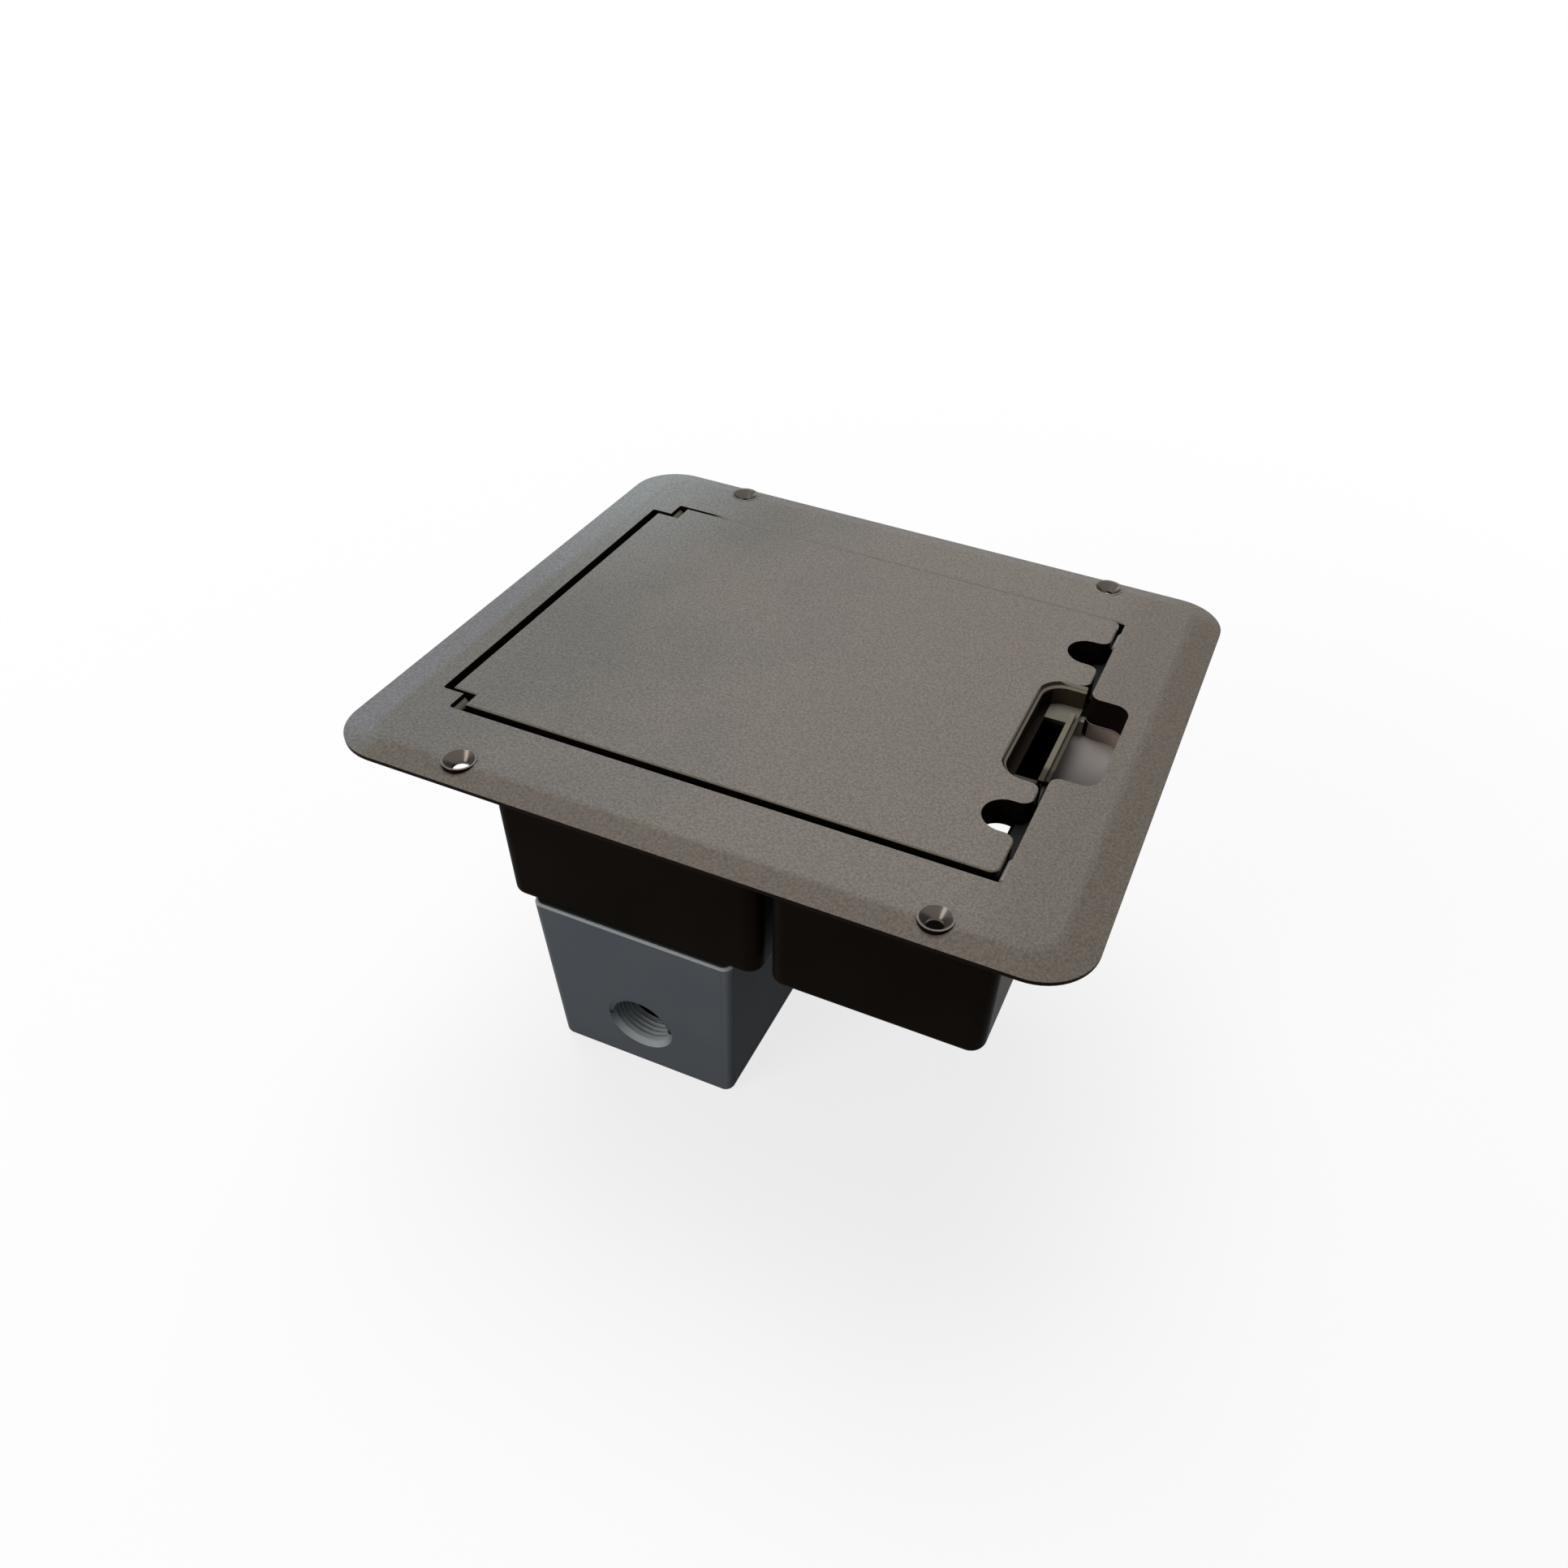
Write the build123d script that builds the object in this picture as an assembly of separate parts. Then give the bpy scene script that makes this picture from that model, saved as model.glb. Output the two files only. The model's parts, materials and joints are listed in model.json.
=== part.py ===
# Deck power box: a bevelled deck flange with a hinged, latched lid over two wells.
# One well holds a protected duplex receptacle on a cast outlet box, the other takes the cords.
# Frame: origin in the middle of the four deck screws, on the deck surface under the flange.
# +X points to the latch end, +Y to the back, +Z up. All sizes are in millimetres.
# "Depth" is always measured down from the top face of the flange.
import os
from build123d import *

# Flange
flange_length = 203.2
flange_width = 177.8
flange_corner_r = 15.0
flange_rise = 3.0
rim_height = 1.1
bevel_run_x = 10.4
bevel_run_y = 7.5
flat_corner_r = 8.0

# Deck screws
deck_screw_margin_x = 37.6
deck_screw_margin_y = 7.6
boss_d = 9.1
boss_proud = 0.2
deck_hole_d = 4.3
countersink_d = 8.0
countersink_depth = 2.5

# Lid opening in the flange, measured in from the flange's outer edge
hinge_margin = 22.1
latch_margin = 27.6
side_margin = 25.0
open_corner_r = 0.8
tongue_reach = 6.5
tongue_side = 6.5
skirt_wall = 3.0
skirt_depth = 7.2

# Finger well in the flange
well_reach = 12.0
well_half = 19.6
well_corner_r = 4.5
well_mouth_r = 3.0
well_depth = 13.0
well_step = 0.4
well_floor = 2.0
well_wall = 2.4
well_clearance = 0.3

# Seal between flange and seat plate, which is also the lid's seat
seal_thickness = 1.0
seal_set_back = 1.0

# Seat plate and the two tubs that hang from it, placed from the opening's edges
plate_thickness = 2.5
tub_wall = 2.5
tub_depth = 74.9
tub_side = 7.6
tub_hinge_shift = 0.5
tub_latch_shift = 3.4
tub_split_x = 8.1
tub_gap = 3.0
tub_corner_r = 5.0
tub_floor_r = 2.2
end_shelf_width = 5.6
pass_half = 33.0
pass_depth = 28.0
trough_floor = 2.5
cord_hole_margin_x = 24.1
cord_hole_margin_y = 18.9
cord_hole_d = 15.8
tub_post_margin_left = 17.5
tub_post_margin_right = 20.0
tub_post_reach = 3.0
tub_post_r = 3.8
tub_screw_d = 3.0
tub_screw_length = 7.6
screw_clearance = 0.35

# Lid
lid_depth = 7.0
lid_deck = 2.6
lid_skirt = 2.2
lid_gap_near = 2.8
lid_gap_far = 0.8
lid_gap_end = 1.6
lid_gap_hinge = 2.4
lid_step_gap = 3.1
lid_tongue_gap = 1.4
lid_corner_r = 2.5
lid_edge_r = 0.5
rib_wall = 1.6
rib_depth = 5.6
ribs_across = 3
rib_share_inner = 0.32
rib_share_outer = 0.67

# Cord notches in the lid
notch_share = 0.417
notch_d = 12.6
notch_length = 10.9
notch_mouth_r = 3.2
notch_wall = 2.0

# Finger well in the lid
grip_length = 12.9
grip_overlap = 4.7
grip_corner_r = 8.0
grip_mouth_r = 3.0
grip_chamfer = 1.4
grip_depth = 6.6
grip_floor = 1.3
grip_wall = 2.0
slot_room = 2.0
slot_set_in = 5.1

# Hinge
hinge_set_in = 5.0
hinge_depth = 3.6
pin_d = 2.5
pin_bore_gap = 0.05
pin_in_lid = 12.0
pin_in_ear = 6.0
ear_lug_r = 2.7
barrel_r = 3.4

# Latch slider
latch_travel = 5.0
bar_set_back = 24.4
bar_width = 7.0
bar_top_depth = 4.2
bar_thickness = 2.0
arm_width = 4.5
nose_gap = 0.4
nose_chamfer = 0.7
slide_gap = 0.3
inner_arm_side_gap = 0.8
inner_arm_width = 3.4
inner_arm_thickness = 1.8
stem_set_back = 2.2
stem_thickness = 1.6
thumb_side_gap = 2.4
thumb_set_back = 2.4
thumb_thickness = 1.7
thumb_depth = 4.4
ridge_reach = 1.5
ridge_end_step = 1.0
ridge_drop = 0.5
ridge_groove = 0.35
ridge_groove_depth = 1.0

# Latch springs and keepers
spring_offset = 2.3
spring_room = 14.0
spring_stop_wall = 2.0
spring_r = 1.6
spring_wire_d = 0.6
spring_turns = 5
spring_pin_d = 1.6
spring_pin_length = 3.0
keeper_offset = 11.5
keeper_width = 8.0
keeper_boss = 6.6
keeper_bar_gap = 5.9
keeper_overhang = 2.0
keeper_thickness = 1.5
keeper_screw_d = 2.6
keeper_screw_length = 4.6

# Spring clips that the latch noses snap under
clip_thickness = 0.5
clip_width = 8.0
clip_pocket = 1.0
clip_pocket_top = 1.0
clip_tip_depth = 1.6
clip_apex_depth = 3.2
clip_apex_gap = 0.35
clip_root_depth = 4.4
clip_foot = 2.2
clip_side_gap = 0.4

# Gasket under the flange
deck_gasket_inset_x = 4.1
deck_gasket_inset_y = 10.5
deck_gasket_band = 4.0
deck_gasket_thickness = 0.9
deck_gasket_corner_r = 6.0

# Outlet box
box_offset = 0.8
box_width = 70.1
box_overhang = 0.9
box_height = 65.8
box_draft_x = 2.0
box_draft_y = 1.3
box_wall = 3.2
box_corner_r = 3.5
box_foot_r = 2.5
box_rim_r = 0.8
box_gasket_thickness = 0.8
box_gasket_inset = 0.9
box_gasket_band = 5.0
hub_depth = 43.4
hub_d = 21.0
hub_mouth_d = 24.0
hub_mouth_depth = 2.2
hub_boss_d = 28.0
hub_length = 11.0
plug_gap = 0.1
plug_length = 9.0
plug_inset = 0.8
plug_slot = 2.4
box_screw_margin_x = 7.55
box_screw_margin_y = 8.2
box_post_r = 3.9
box_post_depth = 22.0
box_screw_d = 3.4
box_screw_length = 12.0
lug_width = 14.0
lug_gap = 1.7
lug_depth = 20.0

# Receptacle
device_screw_margin = 15.55
plate_screw_gap = 6.75
strap_width = 32.0
strap_end = 3.6
strap_thickness = 1.5
body_width = 41.0
body_screw_gap = 7.15
body_depth = 27.0
face_width = 33.0
face_end_step = 1.2
face_rise = 6.2
face_corner_r = 2.0
outlet_share = 0.62
outlet_slot_depth = 4.5
floor_hole_gap = 1.2
device_screw_d = 3.4
device_screw_length = 13.0
cover_side_gap = 0.4
cover_end = 4.1
cover_thickness = 2.4
cover_gap = 0.25
cover_pad = 0.8
cover_screw_length = 7.0
button_length = 12.0
button_width = 5.2
button_pitch = 7.0
button_proud = 0.9
button_travel = 1.2
button_depth = 4.0
button_gap = 0.2
lens_d = 2.6
terminal_pitch = 19.0
terminal_d = 7.4
ground_screw_gap = 4.5
head_height = 2.0
head_ratio = 1.9

SIDES = (-1, 1)

# Flange and opening, worked out from the sizes above
half_length = flange_length / 2
half_width = flange_width / 2
top = flange_rise
deck_screw_x = half_length - deck_screw_margin_x
deck_screw_y = half_width - deck_screw_margin_y
open_left = hinge_margin - half_length
open_right = half_length - latch_margin
open_half = half_width - side_margin
tongue_left = open_left - tongue_reach
tongue_half = open_half - tongue_side
well_right = open_right + well_reach
well_floor_top = top - well_depth

# Seat, tubs and tub posts
skirt_bottom = top - skirt_depth
seal_bottom = skirt_bottom - seal_thickness
plate_bottom = seal_bottom - plate_thickness
tub_bottom = top - tub_depth
tub_floor = tub_bottom + tub_wall
tub_half = open_half - tub_side
left_tub_x0 = open_left - tub_hinge_shift
left_tub_x1 = tub_split_x - tub_gap / 2
right_tub_x0 = tub_split_x + tub_gap / 2
right_tub_x1 = open_right + tub_latch_shift
end_shelf_x = open_right - end_shelf_width
cord_hole_x = right_tub_x1 - cord_hole_margin_x
cord_hole_y = tub_half - cord_hole_margin_y
tub_post_y = open_half + skirt_wall + tub_post_reach
tub_post_x0 = open_left + tub_post_margin_left
tub_post_x2 = open_right - tub_post_margin_right
tub_post_x = (tub_post_x0, (tub_post_x0 + tub_post_x2) / 2, tub_post_x2)

# Lid, hinge, finger well and notches
lid_bottom = top - lid_depth
lid_left = tongue_left + lid_gap_hinge
lid_step = open_left + lid_step_gap
lid_right = open_right - lid_gap_end
lid_near = lid_gap_near - open_half
lid_far = open_half - lid_gap_far
lid_half = (lid_far - lid_near) / 2
lid_centre = (lid_far + lid_near) / 2
lid_tongue_half = tongue_half - lid_tongue_gap
hinge_x = tongue_left + hinge_set_in
hinge_z = top - hinge_depth
barrel_x1 = hinge_x + barrel_r
grip_half = well_half + grip_overlap
grip_left = lid_right - grip_length
slot_half = well_half - slot_set_in
notch_left = lid_right - notch_length
notch_room_start = grip_half + grip_mouth_r
notch_room_end = lid_half - lid_skirt
notch_offset = notch_room_start + notch_share * (notch_room_end - notch_room_start)
grip_floor_top = top - grip_depth
grip_bottom = grip_floor_top - grip_floor

# Latch
bar_top = top - bar_top_depth
bar_bottom = bar_top - bar_thickness
bar_x0 = lid_right - bar_set_back
bar_x1 = bar_x0 + bar_width
arm_y = -lid_near - lid_skirt - slide_gap - arm_width / 2
inner_arm_y = well_half - well_step - inner_arm_side_gap - inner_arm_width / 2
stem_half = slot_half - slide_gap
stem_x0 = lid_right - stem_set_back
slot_left = stem_x0 - latch_travel - slot_room
thumb_half = well_half - well_step - thumb_side_gap
thumb_x0 = lid_right - thumb_set_back
thumb_x1 = thumb_x0 + thumb_thickness
ridge_x1 = thumb_x1 + ridge_reach
ridge_half = thumb_half - ridge_end_step
spring_stop_x = bar_x0 - spring_room
spring_y = inner_arm_y + spring_offset
keeper_y = spring_y + keeper_offset
keeper_left = bar_x0 - keeper_bar_gap - keeper_boss
keeper_right = bar_x1 + keeper_overhang
inner_arm_top = grip_bottom - slide_gap
inner_arm_bottom = inner_arm_top - inner_arm_thickness
nose_x = open_right - nose_gap

# Outlet box and receptacle
box_x = (left_tub_x0 + left_tub_x1) / 2 - box_offset
box_length = 2 * (tub_half + box_overhang)
box_screw_x = box_width / 2 - box_screw_margin_x
box_screw_y = box_length / 2 - box_screw_margin_y
device_pitch = box_length - 2 * device_screw_margin
plate_pitch = device_pitch + 2 * plate_screw_gap
body_length = device_pitch - 2 * body_screw_gap
lug_inner_y = body_length / 2 + lug_gap
ground_screw_y = body_length / 2 - ground_screw_gap
strap_length = plate_pitch + 2 * strap_end
face_length = body_length - 2 * face_end_step
outlet_y = face_length / 2 * outlet_share
cover_length = plate_pitch + 2 * cover_end
cover_width = 2 * (box_screw_x - box_screw_d * head_ratio / 2 - cover_side_gap)
box_top = tub_bottom - box_gasket_thickness
box_bottom = box_top - box_height
hub_z = box_top - hub_depth
strap_top = tub_floor + strap_thickness
face_top = strap_top + face_rise
cover_bottom = strap_top + cover_pad
cover_top = cover_bottom + cover_thickness


def block(x0, x1, y0, y1, z0, z1):
    """A plain block between two corners."""
    size = (x1 - x0, y1 - y0, z1 - z0)
    return Pos((x0 + x1) / 2, (y0 + y1) / 2, (z0 + z1) / 2) * Box(*size)


def rect(x0, x1, y0, y1):
    """A plain rectangle on the XY plane."""
    return Pos((x0 + x1) / 2, (y0 + y1) / 2) * Rectangle(x1 - x0, y1 - y0)


def rounded(x0, x1, y0, y1, r):
    """A rectangle with rounded corners on the XY plane."""
    return Pos((x0 + x1) / 2, (y0 + y1) / 2) * RectangleRounded(x1 - x0, y1 - y0, r)


def prism(plan, z0, z1):
    """A flat plan raised from z0 to z1."""
    return extrude(Pos(0, 0, z0) * plan, z1 - z0)


def upright(x, y, z0, z1, d):
    """A round bar or bore that stands along Z."""
    return Pos(x, y, (z0 + z1) / 2) * Cylinder(d / 2, z1 - z0)


def along_y(x, z, y0, y1, d):
    """A round bar or bore that lies along Y."""
    return Pos(x, (y0 + y1) / 2, z) * Rot(90, 0, 0) * Cylinder(d / 2, abs(y1 - y0))


def along_x(y, z, x0, x1, d):
    """A round bar or bore that lies along X."""
    return Pos((x0 + x1) / 2, y, z) * Rot(0, 90, 0) * Cylinder(d / 2, abs(x1 - x0))


def frustum(x, y, z0, z1, d0, d1):
    """A cone cut short that stands along Z, with diameter d0 at z0 and d1 at z1."""
    return Pos(x, y, (z0 + z1) / 2) * Cone(d0 / 2, d1 / 2, z1 - z0)


def merge(parts):
    """All the shapes in a list as one."""
    result = parts[0]
    for other in parts[1:]:
        result = result + other
    return result


def mirrored_y(shape):
    """A shape together with its mirror image across the XZ plane."""
    return shape + mirror(shape, Plane.XZ)


def pan_screw(x, y, head_z, d, length, up=False):
    """A pan head screw whose head bears at head_z and whose shank goes away from the head."""
    way = 1 if up else -1
    head_d = d * head_ratio
    head = Pos(x, y, head_z - way * head_height / 2) * Cylinder(head_d / 2, head_height)
    rim = head.edges().filter_by(GeomType.CIRCLE).sort_by(Axis.Z)
    head = fillet(rim[0 if up else -1], head_height * 0.4)
    slot_z = head_z - way * head_height
    head = head - Pos(x, y, slot_z) * Box(head_d * 0.6, d * 0.24, head_height * 0.7)
    head = head - Pos(x, y, slot_z) * Box(d * 0.24, head_d * 0.6, head_height * 0.7)
    shank = Pos(x, y, head_z + way * length / 2) * Cylinder(d / 2, length)
    return head + shank


def well_plan(step=0.0):
    """Plan of the finger well in the flange, with rounded lips where it meets the opening."""
    half = well_half - step
    right = well_right - step
    area = rounded(open_right - 3 * well_corner_r, right, -half, half, well_corner_r)
    area = area & rect(open_right - 0.01, right, -half, half)
    lip_r = well_mouth_r
    lip = rect(open_right - 0.01, open_right + lip_r, half - 0.01, half + lip_r)
    lip = lip - Pos(open_right + lip_r, half + lip_r) * Circle(lip_r)
    return area + mirrored_y(lip)


def opening_plan():
    """Plan of the hole in the flange: main opening, hinge tongue recess and finger well."""
    main = rounded(open_left, open_right, -open_half, open_half, open_corner_r)
    tongue = rounded(tongue_left, open_left + 5, -tongue_half, tongue_half, open_corner_r)
    return main + tongue + well_plan()


def seat_plan():
    """Outline that the flange skirt, the seal and the seat plate share."""
    grow = skirt_wall
    main = rounded(tongue_left - grow, open_right + grow, -open_half - grow, open_half + grow, 3)
    posts = [Pos(x, s * tub_post_y) * Circle(tub_post_r) for x in tub_post_x for s in SIDES]
    return merge([main] + posts)


def well_shell_plan(grow=0.0):
    """Outline of the finger well's own walls, which reach under the lid's edge."""
    half = well_half + well_wall + grow
    shell = rounded(0, well_right + well_wall + grow, -half, half, well_corner_r + well_wall)
    return shell & rect(end_shelf_x - grow, flange_length, -half, half)


def well_space_plan():
    """Plan of the finger well's lower pocket, open under the lid for the latch arms."""
    half = well_half - well_step
    return well_plan(well_step) + rect(end_shelf_x - 1, open_right, -half, half)


def post_holes(d):
    """Plan of the holes for the screws that join seat plate and flange."""
    return merge([Pos(x, s * tub_post_y) * Circle(d / 2) for x in tub_post_x for s in SIDES])


def deck_screw_places():
    """Centres of the four deck screws."""
    return [(sx * deck_screw_x, sy * deck_screw_y) for sx in SIDES for sy in SIDES]


def clip_centres():
    """Places along Y of the two latch noses and the clips they snap under."""
    return [-arm_y, arm_y]


def make_deck_frame():
    """Flange with bevel, screw bosses, opening, skirt, hinge ears and clip pockets."""
    flat_x = flange_length - 2 * bevel_run_x
    flat_y = flange_width - 2 * bevel_run_y
    outline = RectangleRounded(flange_length, flange_width, flange_corner_r)
    flat = RectangleRounded(flat_x, flat_y, flat_corner_r)
    body = prism(outline, 0, rim_height)
    body = body + loft([Pos(0, 0, rim_height) * outline, Pos(0, 0, top) * flat])
    body = body + prism(seat_plan(), skirt_bottom, top - 0.5)
    shell = well_shell_plan()
    half = well_half + well_wall
    body = body + prism(shell & rect(open_right, flange_length, -half, half), seal_bottom, top - 0.5)
    for x, y in deck_screw_places():
        body = body + upright(x, y, 0, top + boss_proud, boss_d)
    body = body - prism(opening_plan(), seal_bottom - 1, top + 1)
    pocket = prism(shell, well_floor_top - well_floor, seal_bottom)
    body = body + (pocket - prism(well_space_plan(), well_floor_top, top))
    lug = along_y(hinge_x, hinge_z, tongue_half, open_half + 1, 2 * ear_lug_r)
    body = body + mirrored_y(lug)
    for x, y in deck_screw_places():
        body = body - upright(x, y, -1, top + 2, deck_hole_d)
        mouth_z = top + boss_proud
        body = body - frustum(x, y, mouth_z - countersink_depth, mouth_z, deck_hole_d, countersink_d)
    pin_hole = along_y(hinge_x, hinge_z, tongue_half - 1, tongue_half + pin_in_ear, pin_d)
    body = body - mirrored_y(pin_hole)
    pocket_half = clip_width / 2 + clip_side_gap
    foot_end = open_right + clip_foot + clip_side_gap
    for y in clip_centres():
        y0 = y - pocket_half
        y1 = y + pocket_half
        pocket_x = open_right + clip_pocket
        body = body - block(open_right - 1, pocket_x, y0, y1, skirt_bottom - 1, top - clip_pocket_top)
        relief_top = skirt_bottom + clip_thickness
        body = body - block(open_right - 1, foot_end, y0, y1, skirt_bottom - 1, relief_top)
    body = body - prism(post_holes(tub_screw_d), skirt_bottom - 1, skirt_bottom + 5)
    body = body - prism(deck_gasket_plan(), -1, deck_gasket_thickness)
    return body


def deck_gasket_plan():
    """Plan of the ring gasket between flange and deck."""
    band = 2 * deck_gasket_band
    length = flange_length - 2 * deck_gasket_inset_x
    width = flange_width - 2 * deck_gasket_inset_y
    outer = RectangleRounded(length, width, deck_gasket_corner_r)
    inner_r = max(deck_gasket_corner_r - deck_gasket_band, 0.5)
    inner = RectangleRounded(length - band, width - band, inner_r)
    return outer - inner


def make_deck_gasket():
    """Foam ring in the groove under the flange."""
    return prism(deck_gasket_plan(), 0, deck_gasket_thickness)


def tub_space(x0, x1, z0, z1, inset):
    """Upright block of one tub, inset from the outer wall, with a rounded floor edge."""
    r = max(tub_corner_r - inset, 1.0)
    half = tub_half - inset
    shape = prism(rounded(x0 + inset, x1 - inset, -half, half, r), z0, z1)
    floor_edges = shape.faces().sort_by(Axis.Z)[0].edges()
    return fillet(floor_edges, max(tub_floor_r - inset, 0.8))


def make_seat_plate():
    """Plate under the flange that carries the lid's seat, both wells and the hinge trough."""
    body = prism(seat_plan(), plate_bottom, seal_bottom)
    body = body + block(tongue_left - tub_wall, left_tub_x0, -tongue_half - tub_wall,
                        tongue_half + tub_wall, plate_bottom - trough_floor, plate_bottom)
    half = tub_half - tub_wall
    corner_r = tub_corner_r - tub_wall
    left_space = rounded(left_tub_x0 + tub_wall, left_tub_x1 - tub_wall, -half, half, corner_r)
    right_space = rounded(right_tub_x0 + tub_wall, end_shelf_x, -half, half, corner_r)
    trough = rect(tongue_left, left_tub_x0 + tub_wall, -tongue_half, tongue_half)
    corner = rect(left_tub_x0 + tub_wall - 0.1, left_tub_x0 + tub_wall + corner_r, -half, half)
    way = rect(left_tub_x1 - tub_wall - 1, right_tub_x0 + tub_wall + 1, -pass_half, pass_half)
    space = merge([left_space, right_space, trough, corner, way, well_shell_plan(well_clearance)])
    body = body - prism(space, plate_bottom, top)
    holes = post_holes(tub_screw_d + 2 * screw_clearance)
    return body - prism(holes, plate_bottom - 1, top)


def make_receptacle_well():
    """Well on the hinge side, whose floor carries the receptacle and the outlet box."""
    body = tub_space(left_tub_x0, left_tub_x1, tub_bottom, plate_bottom, 0)
    pass_floor = top - pass_depth
    side = pass_half + tub_wall
    wall_x = left_tub_x1 - tub_wall
    body = body + block(wall_x, right_tub_x0, -side, side, pass_floor - tub_wall, plate_bottom)
    body = body - tub_space(left_tub_x0, left_tub_x1, tub_floor, top, tub_wall)
    body = body - block(wall_x - 1, right_tub_x0 + 1, -pass_half, pass_half, pass_floor, top)
    body = body - prism(receptacle_opening(), tub_bottom - 1, tub_floor + 1)
    for x, y in box_screw_places():
        body = body - upright(x, y, tub_bottom - 1, tub_floor + 1, box_screw_d + 2 * screw_clearance)
    hole_d = device_screw_d + 2 * screw_clearance
    for pitch in (device_pitch, plate_pitch):
        for s in SIDES:
            body = body - upright(box_x, s * pitch / 2, tub_bottom - 1, tub_floor + 1, hole_d)
    return body


def make_cord_well():
    """Well on the latch side, for cords, with a round hole in its floor."""
    body = tub_space(right_tub_x0, right_tub_x1, tub_bottom, plate_bottom, 0)
    body = body - tub_space(right_tub_x0, right_tub_x1, tub_floor, top, tub_wall)
    wall_x = right_tub_x0 + tub_wall
    body = body - block(right_tub_x0 - 1, wall_x + 1, -pass_half, pass_half, top - pass_depth, top)
    notch_bottom = well_floor_top - well_floor - well_clearance
    body = body - prism(well_shell_plan(well_clearance), notch_bottom, top)
    return body - upright(cord_hole_x, cord_hole_y, tub_bottom - 1, tub_floor + 1, cord_hole_d)


def receptacle_opening():
    """Plan of the hole in the well's floor that the receptacle's body passes through."""
    half_x = body_width / 2 + floor_hole_gap
    half_y = body_length / 2 + floor_hole_gap
    return rounded(box_x - half_x, box_x + half_x, -half_y, half_y, 3)


def make_rim_seal():
    """Flat seal between skirt and seat plate; its inner band is the seat of the lid."""
    back = seal_set_back
    inner_half = tub_half - tub_wall + back
    left_end = left_tub_x0 + tub_wall - back
    plan = seat_plan() - rounded(left_end, end_shelf_x + back, -inner_half, inner_half, tub_corner_r)
    plan = plan - rect(tongue_left - 0.5, left_end + 3, -tongue_half - 0.5, tongue_half + 0.5)
    plan = plan - well_shell_plan(well_clearance)
    grip_side = grip_half + grip_mouth_r + grip_wall + 0.5
    plan = plan - rect(end_shelf_x - 1, open_right, -grip_side, grip_side)
    plan = plan - post_holes(tub_screw_d + 2 * screw_clearance)
    return prism(plan, seal_bottom, skirt_bottom)


def make_tub_screws():
    """Six screws that hold the seat plate up against the flange's posts."""
    places = [(x, s * tub_post_y) for x in tub_post_x for s in SIDES]
    return [pan_screw(x, y, plate_bottom, tub_screw_d, tub_screw_length, True) for x, y in places]


def lid_plan():
    """Outline of the lid with its hinge tongue."""
    main = rounded(lid_step, lid_right, lid_near, lid_far, lid_corner_r)
    corner = rect(lid_step, lid_step + 2 * lid_corner_r, lid_near, lid_far)
    tongue = rect(lid_left, lid_step + 1, -lid_tongue_half, lid_tongue_half)
    return main + corner + tongue


def mouth_plan(half, r):
    """Rounded lips where a recess of a given half width meets the lid's latch end."""
    lip = rect(lid_right - r, lid_right + 1, half - 0.01, half + r)
    lip = lip - Pos(lid_right - r, half + r) * Circle(r)
    return mirrored_y(lip)


def notch_centres():
    """Places along Y of the two cord notches, even about the middle of the lid's own outline."""
    return [lid_centre - notch_offset, lid_centre + notch_offset]


def notch_plan(grow=0.0):
    """Plan of one cord notch, centred on y = 0."""
    r = notch_d / 2 + grow
    centre = notch_left + notch_d / 2
    return Pos(centre, 0) * Circle(r) + rect(centre, lid_right + 1, -r, r)


def grip_plan(inset=0.0):
    """Plan of the lid's finger well, open at the latch end."""
    half = grip_half - inset
    left = grip_left + inset
    r = max(grip_corner_r - inset, 1.0)
    area = rounded(left, lid_right + 2 * grip_length, -half, half, r)
    return area & rect(left, lid_right + 1, -half, half)


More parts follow.
